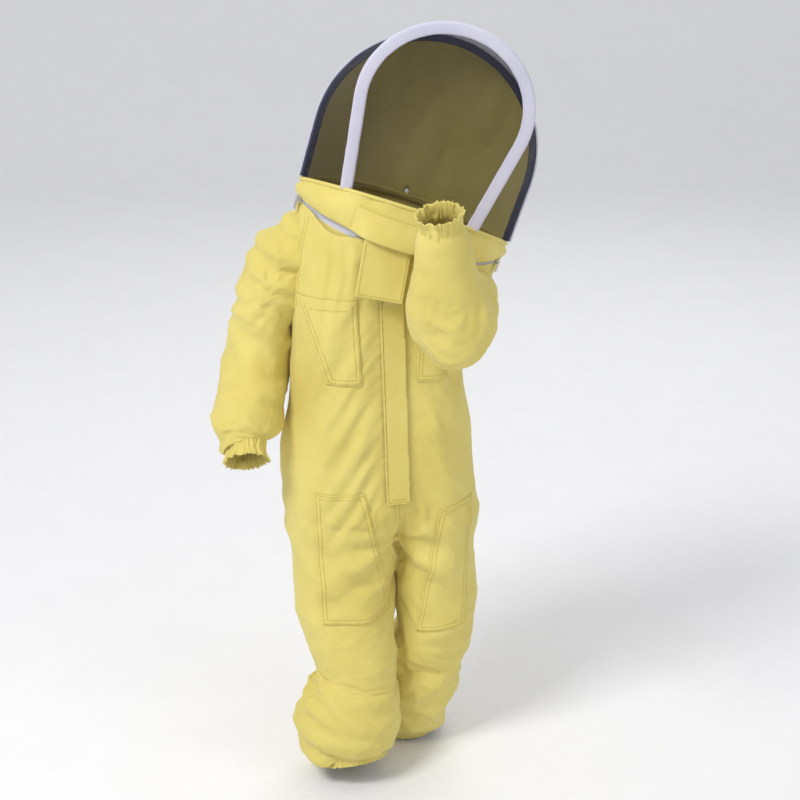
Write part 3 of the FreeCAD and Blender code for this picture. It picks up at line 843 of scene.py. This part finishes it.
for side, corners in POCKETS.items():
    lines = edge_lines(BODY, corners, (0.0025, 0.0075), "rbl") + edge_lines(BODY, corners, (0.014,), "t")
    pocket, thread = add_patch("chest_pocket_cloth_" + side, BODY, corners, ["torso"], 0.0006, 0.0014, lines)
    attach(pocket, "torso")
    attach(thread, "torso")
    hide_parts("chest_pocket_" + side)
fly_lines = edge_lines(ZIP, FLY, (0.003,), "l") + edge_lines(ZIP, FLY, (0.003, 0.007), "b")
fly_lines += edge_lines(ZIP, [(x - 0.026, z) for x, z in FLY], (0.029,), "l")
fly, fly_thread = add_patch("fly_cloth", ZIP, FLY, ["torso", "leg_right", "leg_left"], 0.0020, 0.0013, fly_lines,
                            least=-0.0955)
for piece in (fly, fly_thread):
    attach(piece, "torso")
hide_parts("zip_fly")
for side, sign in (("right", -1), ("left", 1)):
    corners = PATCHES[side]
    lines = edge_lines(BODY, corners, (0.002, 0.007))
    patch, thread = add_patch("knee_patch_cloth_" + side, BODY, corners, ["torso", "leg_" + side],
                              0.0005, 0.0013, lines)
    axis = hip_axis(sign)
    for piece in (patch, thread):
        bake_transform(piece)
    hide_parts("knee_patch_" + side, "hip_pocket_" + side)

# the suit's own pieces, with the bodies on either side of each one's joint and the span across it; the pieces
# themselves are baked in place
SHOULDER_AT = JOINT_AT["shoulder_right"]
KNEE_SPAN = {"right": (-0.575, -0.640), "left": (-0.612, -0.670)}
BLENDS = {
    "sleeve_upper_right": ("torso", "upper_arm_right", SHOULDER_AT + SLANT_RIGHT * 0.020,
                           SHOULDER_AT + SLANT_RIGHT * 0.120),
    "sleeve_lower_right": ("upper_arm_right", "forearm_right", SHOULDER_AT + ARM_RIGHT * 0.146,
                           SHOULDER_AT + ARM_RIGHT * 0.210),
    "sleeve_upper_left": ("torso", "upper_arm_left", SLANT_LEFT * 0.050, SLANT_LEFT * 0.130),
    "sleeve_lower_left": ("upper_arm_left", "forearm_left", ELBOW_TURN_LEFT * 0.082,
                          ELBOW_TURN_LEFT * 0.126),
}
for side, sign in (("right", -1), ("left", 1)):
    axis = hip_axis(sign)
    BLENDS["leg_upper_" + side] = ("torso", "thigh_" + side, BODY.translation + axis * 0.35,
                                   BODY.translation + axis * 0.43)
    BLENDS["leg_lower_" + side] = ("thigh_" + side, "shin_" + side, Vector((0, 0, KNEE_SPAN[side][0])),
                                   Vector((0, 0, KNEE_SPAN[side][1])))
STANDS_FOR = {
    "torso_cloth": ["torso_back", "torso_front_left", "torso_front_right", "back_waist_elastic"],
    "sleeve_upper_right": ["upper_sleeve_right"], "sleeve_upper_left": ["upper_sleeve_left"],
    "sleeve_lower_right": ["lower_sleeve_right"], "sleeve_lower_left": ["lower_sleeve_left"],
    "leg_upper_right": ["thigh_right"], "leg_upper_left": ["thigh_left"],
    "leg_lower_right": ["shin_right"], "leg_lower_left": ["shin_left"],
}
for name, piece in PIECES.items():
    if name in BLENDS:
        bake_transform(piece)
    else:
        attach(piece, "torso")
    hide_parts(*STANDS_FOR[name])


# ---- seams stitched on the suit: points in x and z, and the side that they are on ----
SEAMS = {
    "armhole": ((0, 1, 0), [(-0.131, 0.004), (-0.139, -0.030), (-0.146, -0.080), (-0.150, -0.120)]),
    "front_rise": (tuple(FRONT), [(-0.026, -0.392), (-0.022, -0.428)]),
    "back_rise": (tuple(-FRONT), [(-0.034, -0.045), (-0.034, -0.240), (-0.034, -0.430)]),
    "back_yoke": (tuple(-FRONT), [(-0.130, -0.085), (-0.034, -0.092), (0.062, -0.100)]),
}
torso_tree = tree_of(PIECES["torso_cloth"])
for name, (toward, points) in SEAMS.items():
    lines = [[Vector((x + gap, 0, z + gap)) for x, z in points] for gap in (0.0, 0.005)]
    seam_thread = stitches("seam_" + name + "_stitches", torso_tree, lines, toward)
    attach(seam_thread, "torso")


# ---- gathered ends ----
def gathered_ring(name, centre, along, profile, folds, seed, material=None, columns=150):
    """A gathered cloth ring; profile rows are distance along, radius and depth of the gathers."""
    side = Vector((1, 0, 0))
    side = (side - along * side.dot(along)).normalized()
    other = along.cross(side)
    dice = random.Random(seed)
    phases = [dice.uniform(0, 6.28) for _ in range(4)]
    rows = []
    for reach, radius, depth in profile:
        row = []
        for k in range(columns):
            a = 2 * math.pi * k / columns
            warp = a + 0.22 * math.sin(3 * a + phases[0]) + 0.09 * math.sin(7 * a + phases[1])
            warp += 0.035 * math.sin(reach * 240 + 4 * a)
            wave = math.sin(folds * warp + phases[2]) + 0.35 * math.sin(folds * 1.7 * warp + phases[3])
            r = radius + depth * ridge(wave / 1.35)
            lean = 0.25 * depth * math.cos(folds * warp)
            row.append(centre + along * (reach + lean) + (side * math.cos(a) + other * math.sin(a)) * r)
        rows.append(row)
    ring = grid_object(name, rows, closed=True, material=material or COTTON)
    modify(ring, "SUBSURF", levels=1, render_levels=1)
    thicken(ring, 0.0012)
    return ring


CUFF = [(-0.020, 0.0300, 0.0004), (-0.013, 0.0310, 0.0020), (-0.008, 0.0292, 0.0026), (-0.003, 0.0278, 0.0024),
        (0.002, 0.0284, 0.0028), (0.006, 0.0280, 0.0024), (0.011, 0.0296, 0.0034), (0.017, 0.0322, 0.0042)]
HEM = [(-0.012, 0.000, 0.0008), (-0.006, 0.001, 0.0020), (-0.001, -0.001, 0.0022), (0.004, -0.001, 0.0024),
       (0.008, -0.0005, 0.0026)]
for side in ("right", "left"):
    tip, before = (Vector(SLEEVES[side][k][0]) for k in (-1, -2))
    cuff = gathered_ring("cuff_cloth_" + side, tip, (tip - before).normalized(), CUFF, 17, 11)
    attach(cuff, "forearm_" + side)
    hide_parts("cuff_casing_" + side, "cuff_elastic_" + side)
    tip, before = (Vector(LEGS[side][k][0]) for k in (-1, -2))
    radius = LEGS[side][-1][1] + 0.001
    profile = [(reach, radius + grow, depth) for reach, grow, depth in HEM]
    hem = gathered_ring("hem_cloth_" + side, tip, (tip - before).normalized(), profile, 25, 5)
    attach(hem, "shin_" + side)
    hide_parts("ankle_casing_" + side, "ankle_elastic_" + side)
for skin in SKINS.values():
    bpy.data.objects.remove(skin)


# ---- hood ----
def arch_frame(arch):
    """An arch's flat frame: x across, y up along it, z to the front."""
    lean = math.radians(arch["lean"])
    up = Vector((0, math.sin(lean), math.cos(lean)))
    out = Vector((1, 0, 0)).cross(up)
    turn = Matrix((Vector((1, 0, 0)), up, out)).transposed().to_4x4()
    return HOOD @ Matrix.Translation((0, *arch["foot"])) @ turn


def arch_flat(arch, share, grow=0.0):
    """A point and outward direction on the arch; share runs from one foot (0) to the other (1)."""
    half, radius, height = arch["half"] + grow, arch["radius"] + grow, arch["height"] + grow
    centre = height - radius
    angle = math.atan2(-centre, half) + math.acos(radius / math.hypot(half, centre))
    if share > 0.5:
        point, out = arch_flat(arch, 1 - share, grow)
        return Vector((-point.x, point.y)), Vector((-out.x, out.y))
    if share < 0.2:
        top = Vector((radius * math.cos(angle), centre + radius * math.sin(angle)))
        foot = Vector((half, 0.0))
        return foot.lerp(top, share / 0.2), Vector((math.cos(angle), math.sin(angle)))
    turn = angle + (math.pi / 2 - angle) * (share - 0.2) / 0.3
    out = Vector((math.cos(turn), math.sin(turn)))
    return Vector((0, centre)) + out * radius, out


def arch_point(arch, share, grow=0.0, depth=0.0):
    """A point on the arch in the suit's frame."""
    flat, _ = arch_flat(arch, share, grow)
    return arch_frame(arch) @ Vector((flat.x, flat.y, depth))


def arch_strip(name, arch, half_width, half_depth, material, grow=0.0, shift=0.0, seed=0.0):
    """A soft band swept round an arch, a little uneven as sewn tape is."""
    steps, sides = 110, 14
    place = arch_frame(arch)
    rows = []
    for i in range(steps + 1):
        flat, out = arch_flat(arch, i / steps, grow)
        uneven = noise.noise(Vector((i * 0.45, seed, 0))) * 0.0007
        row = []
        for k in range(sides):
            a = 2 * math.pi * k / sides
            c, s = math.cos(a), math.sin(a)
            w = (half_width + uneven) * math.copysign(abs(c) ** 0.45, c)
            d = (half_depth + uneven * 0.6) * math.copysign(abs(s) ** 0.7, s) + shift
            row.append(place @ Vector((flat.x + out.x * w, flat.y + out.y * w, d)))
        rows.append(row)
    strip = grid_object(name, rows, closed=True, material=material, flip=True)
    modify(strip, "SUBSURF", levels=1, render_levels=1)
    return strip


def arch_stitches(name, arch, offset, depth, material):
    """Thread dashes along a band, on its front face."""
    tree = tree_of(bpy.data.objects[name.replace("_stitches", "")])
    place = arch_frame(arch)
    line = []
    for i in range(121):
        flat, out = arch_flat(arch, i / 120)
        line.append(place @ Vector((flat.x + out.x * offset, flat.y + out.y * offset, depth)))
    return stitches(name, tree, [line], place.to_3x3() @ Vector((0, 0, -1)), material)


def hood_piece(piece, slot_name, flat, held, *nodes, area=None, riders=()):
    """Everything sewn to the hood rides on it, and the CAD parts it stands for are hidden."""
    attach(piece, "hood")
    if nodes:
        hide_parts(*nodes)
    for rider in riders:
        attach(rider, "hood")


front_band = arch_strip("front_band_cloth", FRONT_ARCH, 0.0085, 0.0036, BINDING, seed=1.0)
front_thread = arch_stitches("front_band_cloth_stitches", FRONT_ARCH, -0.0062, 0.0, BINDING)
hood_piece(front_band, "binding", (0.66, 0.022), "stretched", "front_arch_band", riders=[front_thread])
rear_band = arch_strip("rear_band_cloth", REAR_ARCH, 0.0055, 0.0034, NAVY, seed=2.0)
rear_piping = arch_strip("rear_band_piping", REAR_ARCH, 0.0014, 0.0014, BINDING, grow=0.0060, shift=0.0012)
hood_piece(rear_band, "binding", (0.74, 0.018), "stretched", "rear_arch_band", riders=[rear_piping])


def veil_sheet():
    """The front veil: rings shrinking towards its middle, slightly bowed and puckered at the rim."""
    steps, rings = 96, 12
    place = arch_frame(FRONT_ARCH)
    middle = Vector((0, 0.115))
    rows = []
    for r in range(rings + 1):
        share = 1 - r / rings * 0.97
        row = []
        for i in range(steps + 1):
            flat, _ = arch_flat(FRONT_ARCH, i / steps, -0.006)
            row.append(flat)
        for i in range(1, 24):
            row.append(row[steps].lerp(row[0], i / 24))
        out = []
        for i, flat in enumerate(row):
            point = middle + (flat - middle) * share
            bow = 0.007 * (1 - share ** 2)
            pucker = 0.0011 * share ** 10 * math.sin(i * 1.9) + 0.0012 * noise.noise(Vector((*point * 22, 0)))
            out.append(place @ Vector((point.x, point.y, bow + pucker - 0.001)))
        rows.append(out)
    sheet = grid_object("veil_front_net", rows, closed=True, material=VEIL)
    cap = bmesh.new()
    cap.from_mesh(sheet.data)
    bmesh.ops.holes_fill(cap, edges=[e for e in cap.edges if e.is_boundary], sides=0)
    worst = max(cap.faces, key=lambda f: f.calc_area())
    if len(worst.verts) > 4 and worst.calc_area() > 0.01:
        bmesh.ops.delete(cap, geom=[worst], context="FACES_ONLY")
    cap.to_mesh(sheet.data)
    cap.free()
    return sheet


hood_piece(veil_sheet(), "veil", (0.215, 0.265), "stretched", "veil_front", area=0.050)


def gusset_sheet(name, low, high, seed):
    """Netting between the two bands, drawn in a little and loosely gathered."""
    columns, rows = 46, 8
    grid = []
    for j in range(rows + 1):
        t = j / rows
        row = []
        for i in range(columns + 1):
            share = mix(low, high, i / columns)
            front = arch_point(FRONT_ARCH, share, 0.002, -0.0030)
            rear = arch_point(REAR_ARCH, share, 0.002, 0.0030)
            point = front.lerp(rear, t)
            _, out = arch_flat(REAR_ARCH, share)
            outward = arch_frame(REAR_ARCH).to_3x3() @ Vector((out.x, out.y, 0))
            bow = 4 * t * (1 - t)
            ruffle = noise.noise(Vector((share * 46 + seed, t * 1.2, 0))) * 0.0065 + 0.0010
            row.append(point + outward * ruffle * bow ** 0.6)
        grid.append(row)
    return grid_object(name, grid, material=VEIL)


for name, low, high, flat in (("left", 0.0, 0.34, (0.24, 0.12)), ("top", 0.34, 0.66, (0.24, 0.18)),
                              ("right", 0.66, 1.0, (0.24, 0.12))):
    net = gusset_sheet("gusset_net_" + name, low, high, 3.0)
    hood_piece(net, "veil", flat, "gathered", "veil_gusset_" + name, area=flat[0] * flat[1] * 0.8)


def dome_sheet():
    """The cotton back of the hood, with soft hanging folds."""
    columns, rows = 96, 26
    foot = REAR_ARCH["foot"]
    lean = math.radians(REAR_ARCH["lean"])
    grid = []
    for j in range(rows + 1):
        angle = math.radians(89.0 * j / rows)
        row = []
        for i in range(columns + 1):
            flat, _ = arch_flat(REAR_ARCH, i / columns, 0.001)
            rim = Vector((flat.x, foot[0] + flat.y * math.sin(lean), foot[1] + flat.y * math.cos(lean)))
            c, s = math.cos(angle), math.sin(angle)
            point = Vector((rim.x * c, rim.y * c + 0.086 * s, foot[1] + (rim.z - foot[1]) * c))
            crease = 0.0050 * ridge(streaks(point, (17, 9, 6), 4.0)) * smooth(s * 4) * smooth((c - 0.03) * 6)
            out = Vector((point.x, point.y + 0.03, point.z - 0.08)).normalized()
            row.append(point + out * crease)
        feet = []
        for foot_point in (row[0], row[-1]):
            a = math.atan2(foot_point.y, foot_point.x)
            feet.append(collar_point(a, 0.014, 0.001))
        grid.append([feet[0]] + [HOOD @ p for p in row] + [feet[1]])
    dome = grid_object("hood_back_cloth", grid, material=COTTON, flip=True)
    modify(dome, "SUBSURF", levels=1, render_levels=1)
    thicken(dome, 0.0014)
    return dome


hood_piece(dome_sheet(), "cotton", (0.36, 0.34), "hung", "hood_back", area=0.085)


# ---- collar, neck zip and flap ----
def collar_top(y):
    """Height of the collar's top edge in the hood's frame: it rises to the front."""
    return 0.022 + max(0.0, -y) * math.tan(math.radians(19.0))


def collar_sheet():
    """The cotton collar, standing a little proud with soft dents."""
    columns, rows = 180, 12
    grid = []
    for j in range(rows + 1):
        t = j / rows
        row = []
        for k in range(columns):
            a = 2 * math.pi * k / columns
            y = collar_reach(a) * math.sin(a)
            height = mix(0.0035, collar_top(y), t)
            dent = 0.0022 * noise.noise(Vector((math.cos(a) * 5, math.sin(a) * 5, t * 1.5)))
            bulge = 0.0045 * math.sin(math.pi * min(1, t * 1.15 + 0.1)) + 0.0014
            row.append(collar_point(a, height, bulge + dent))
        grid.append(row)
    collar = grid_object("collar_cloth", grid, closed=True, material=COTTON_FLAT)
    modify(collar, "SUBSURF", levels=1, render_levels=1)
    thicken(collar, 0.0024)
    return collar


def collar_line(t, grow, count=220):
    """A closed line round the collar at a share of its height."""
    line = []
    for k in range(count):
        a = 2 * math.pi * k / count
        y = collar_reach(a) * math.sin(a)
        line.append(collar_point(a, mix(0.0035, collar_top(y), t), grow))
    return line


collar = collar_sheet()
top_roll = tube_between("collar_top_roll", collar_line(1.0, 0.0012), (0.0027, 0.0024), COTTON_FLAT, 12, True)
low_roll = tube_between("collar_low_roll", collar_line(0.0, 0.0016), (0.0018, 0.0015), COTTON_FLAT, 10, True)
hood_piece(collar, "cotton", (0.72, 0.062), "hung", "collar_band", "collar_top_binding", area=0.030,
           riders=[top_roll, low_roll])


def neck_tape(name, low, high, inset, material):
    """Part of the white facing behind the neck zip, round the front."""
    columns, rows = 80, 5
    grid = []
    for j in range(rows + 1):
        row = []
        for i in range(columns + 1):
            a = math.radians(mix(-158, -22, i / columns))
            height = mix(low, high, j / rows)
            radius = COLLAR_FRONT[0] - inset - 0.35 * max(0.0, -height - 0.004)
            row.append(HOOD @ Vector((radius * math.cos(a), COLLAR_FRONT[1] + radius * math.sin(a),
                                      height)))
        grid.append(row)
    tape = grid_object(name, grid, material=material)
    thicken(tape, 0.0008)
    return tape


def neck_coil(name, height, lean):
    """A fine coil along the neck zip."""
    turns, per_turn = 150, 7
    path = []
    for i in range(turns * per_turn + 1):
        a = math.radians(mix(-157, -23, i / (turns * per_turn)))
        twist = 2 * math.pi * i / per_turn
        radius = COLLAR_FRONT[0] + 0.0012 + 0.0010 * math.cos(twist)
        path.append(HOOD @ Vector((radius * math.cos(a), COLLAR_FRONT[1] + radius * math.sin(a),
                                   height + lean * math.sin(twist))))
    return tube_between(name, path, 0.0003, COIL, sides=5)


def closest_to_torso(piece, node, body):
    """A zip part rides on a body, and its CAD node is hidden."""
    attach(piece, body)
    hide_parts(node)


def neck_facing():
    """The cotton facing inside the suit's top edge, all round."""
    rows = []
    for height in (-0.026, -0.018, -0.010, -0.002, 0.006):
        rows.append([collar_point(2 * math.pi * k / 120, height, -0.0050) for k in range(120)])
    facing = grid_object("neck_facing_cloth", rows, closed=True, material=COTTON_FLAT)
    thicken(facing, 0.0010)
    return facing


facing = neck_facing()
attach(facing, "torso")
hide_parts("neck_band", "yoke_facing")
upper_tape = neck_tape("neck_tape_upper", 0.0008, 0.010, 0.0010, TAPE)
lower_tape = neck_tape("neck_tape_lower", -0.030, -0.0008, 0.0032, TAPE)
closest_to_torso(upper_tape, "neck_zip_upper_tape", "hood")
closest_to_torso(lower_tape, "neck_zip_lower_tape", "torso")
closest_to_torso(neck_coil("neck_coil_upper", 0.0011, 0.0010), "neck_zip_upper_coil", "hood")
closest_to_torso(neck_coil("neck_coil_lower", -0.0011, 0.0010), "neck_zip_lower_coil", "torso")

FLAP_SIZE = (0.064, 0.078)
FLAP_FRONT = -0.1155
FLAP_TOP = 0.004                        # how far it reaches up under the collar's edge


def flap_sheet():
    """The square neck flap: two layers of cotton, slightly curled at its free corners."""
    columns, rows = 20, 24
    grid = []
    for j in range(rows + 1):
        z = mix(FLAP_TOP, -FLAP_SIZE[1], j / rows)
        row = []
        for i in range(columns + 1):
            x = FLAP_SIZE[0] * (i / columns - 0.5)
            drop = j / rows
            curl = 0.0022 * drop ** 2 * (abs(2 * i / columns - 1) ** 2) - 0.0016 * math.sin(math.pi * drop)
            soft = 0.0012 * noise.noise(Vector((x * 40, z * 30, 0.5)))
            row.append(FLAP @ Vector((x, FLAP_FRONT - curl * 0.6 + soft, z)))
        grid.append(row)
    flap = grid_object("neck_flap_cloth", grid, material=COTTON_FLAT)
    thicken(flap, 0.0026, offset=0.0)
    bevel = flap.modifiers.new("bevel", "BEVEL")
    bevel.width, bevel.segments, bevel.limit_method = 0.0009, 2, "ANGLE"
    apply_modifiers(flap)
    return flap


flap = flap_sheet()
flap_corners = box_corners(-FLAP_SIZE[0] / 2, FLAP_SIZE[0] / 2, -FLAP_SIZE[1], 0.0)
flap_thread = stitches("neck_flap_stitches", tree_of(flap),
                       edge_lines(FLAP, flap_corners, (0.0035,), "rbl"), front_of(FLAP))
for piece in (flap, flap_thread):
    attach(piece, "flap")
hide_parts("neck_flap")


def seam_strip():
    """The collar's lower edge where it stands out over the flap's top."""
    columns, rows = 44, 12
    grid = []
    for j in range(rows + 1):
        t = j / rows
        row = []
        for i in range(columns + 1):
            x = mix(-0.066, 0.040, i / columns)
            out = smooth((x + 0.066) / 0.022) * smooth((0.040 - x) / 0.022)
            wall = COLLAR_FRONT[1] - math.sqrt((COLLAR_FRONT[0] + 0.004) ** 2 - x * x)
            dent = 0.0010 * noise.noise(Vector((x * 60, t * 2, 1.7)))
            y = wall - 0.0022 - out * (0.0120 * smooth(t) + dent)
            row.append(HOOD @ Vector((x, y, mix(0.038, 0.0035, t))))
        grid.append(row)
    strip = grid_object("flap_seam_cloth", grid, material=COTTON_FLAT)
    thicken(strip, 0.0024)
    return strip


seam = seam_strip()
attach(seam, "hood")
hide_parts("flap_seam")


def fuzzy_patch(name, place, spans, front, facing, body, node):
    """A hook or loop patch: a pad with a rounded rim."""
    (x_low, x_high), (z_low, z_high) = spans
    columns, rows = 12, 10
    grid = []
    for j in range(rows + 1):
        row = []
        for i in range(columns + 1):
            u, v = 2 * i / columns - 1, 2 * j / rows - 1
            rise = 0.0012 * (1 - max(abs(u), abs(v)) ** 6) + 0.0002 * noise.noise(Vector((i * 2.3, j * 2.1, 0)))
            row.append(place @ Vector((mix(x_low, x_high, i / columns), front + facing * rise,
                                       mix(z_low, z_high, j / rows))))
        grid.append(row)
    pad = grid_object(name, grid, material=NAP, flip=facing > 0)
    thicken(pad, 0.0004)
    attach(pad, body)
    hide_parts(node)


fuzzy_patch("flap_hook_pad", FLAP, ((-0.020, 0.020), (-0.074, -0.054)), -0.1138, 1, "flap", "flap_hook_patch")
fuzzy_patch("fly_loop_pad", ZIP, ((-0.011, 0.015), (-0.098, -0.078)), -0.1030, -1, "torso", "flap_loop_patch")


# ---- front zip and the CAD parts that stay ----
def zip_side(side, sign):
    """Half of the front zip: its tape, and moulded teeth along it."""
    face = -0.0924
    spans = sorted((sign * 0.0026, sign * 0.012))
    points, faces = [], []
    steps = 90
    for i in range(steps + 1):
        z = mix(-0.388, -0.046, i / steps)
        for x in (spans[0], sum(spans) / 2, spans[1]):
            points.append(ZIP @ Vector((x, face, z)))
    for i in range(steps):
        for k in (0, 1):
            a = i * 3 + k
            faces.append((a, a + 1, a + 4, a + 3))
    tape = mesh_from("front_tape_" + side, points, faces, TAPE)
    thicken(tape, 0.0008, offset=0.0)
    points, faces = [], []
    count = 110
    for i in range(count):
        z = mix(-0.383, -0.047, (i + (0.5 if sign > 0 else 0.0)) / count)
        base = len(points)
        for x, deep, tall in ((0.0002, 0.0007, 0.0005), (0.0014, 0.0010, 0.0008), (0.0026, 0.0008, 0.0010)):
            for dy, dz in ((-1, -1), (1, -1), (1, 1), (-1, 1)):
                points.append(ZIP @ Vector((sign * x, face - 0.0005 + dy * deep, z + dz * tall)))
        for ring in (0, 4):
            for k in range(4):
                n = (k + 1) % 4
                faces.append((base + ring + k, base + ring + n, base + ring + 4 + n, base + ring + 4 + k))
        faces.append((base + 3, base + 2, base + 1, base))
        faces.append((base + 8, base + 9, base + 10, base + 11))
    teeth = mesh_from("front_teeth_" + side, points, faces, COIL)
    closest_to_torso(tape, "zip_tape_" + side, "torso")
    closest_to_torso(teeth, "zip_teeth_" + side, "torso")


zip_side("right", -1)
zip_side("left", 1)
for node, material in (("front_zip_slider", METAL), ("front_zip_pull", METAL), ("zip_bottom_stop", METAL),
                       ("neck_slider_right", METAL), ("neck_slider_left", METAL),
                       ("neck_pull_right", METAL), ("neck_pull_left", METAL),
                       ("front_hoop", WIRE), ("rear_hoop", WIRE)):
    carried = bpy.data.objects[node]
    for slot in carried.material_slots:
        slot.material = material
# ---- studio ----
FLOOR = -0.818
SWEEP = 1.5                             # radius where the floor turns up into the backdrop
profile = [(-7.0, FLOOR), (4.0, FLOOR)]
profile += [(4.0 + SWEEP * math.sin(a), FLOOR + SWEEP * (1 - math.cos(a)))
            for a in (math.radians(6 * k) for k in range(1, 16))]
profile.append((4.0 + SWEEP, 6.0))
floor = grid_object("floor", [[Vector((x, y, z)) for x in (-8, 0, 8)] for y, z in profile])
floor.data.materials.append(cloth_material("pale_floor", (0.92, 0.92, 0.92), (0.90, 0.90, 0.90), 0.9))


def area_light(name, place, energy, size):
    """A soft light aimed at the suit."""
    light = bpy.data.lights.new(name, "AREA")
    light.energy, light.size = energy, size
    lamp = bpy.data.objects.new(name, light)
    SCENE.collection.objects.link(lamp)
    lamp.location = place
    aim = Vector((0, 0, -0.3)) - Vector(place)
    lamp.rotation_euler = aim.to_track_quat("-Z", "Y").to_euler()


area_light("key", (-1.9, -2.0, 2.6), 95, 1.2)
area_light("fill", (2.4, -2.0, 1.2), 14, 2.2)
area_light("rim", (0.6, 2.4, 2.0), 25, 1.8)
world = bpy.data.worlds.new("studio")
world.use_nodes = True
world.node_tree.nodes["Background"].inputs["Color"].default_value = (0.95, 0.96, 1.0, 1)
world.node_tree.nodes["Background"].inputs["Strength"].default_value = 0.62
SCENE.world = world
SCENE.view_settings.view_transform = "Standard"

camera = bpy.data.objects.new("camera", bpy.data.cameras.new("camera"))
SCENE.collection.objects.link(camera)
camera.location = (-0.003, -2.30, 0.524)
camera.rotation_euler = (math.radians(71), 0, 0)
camera.data.lens = 76.7
camera.data.sensor_width = 36
SCENE.camera = camera
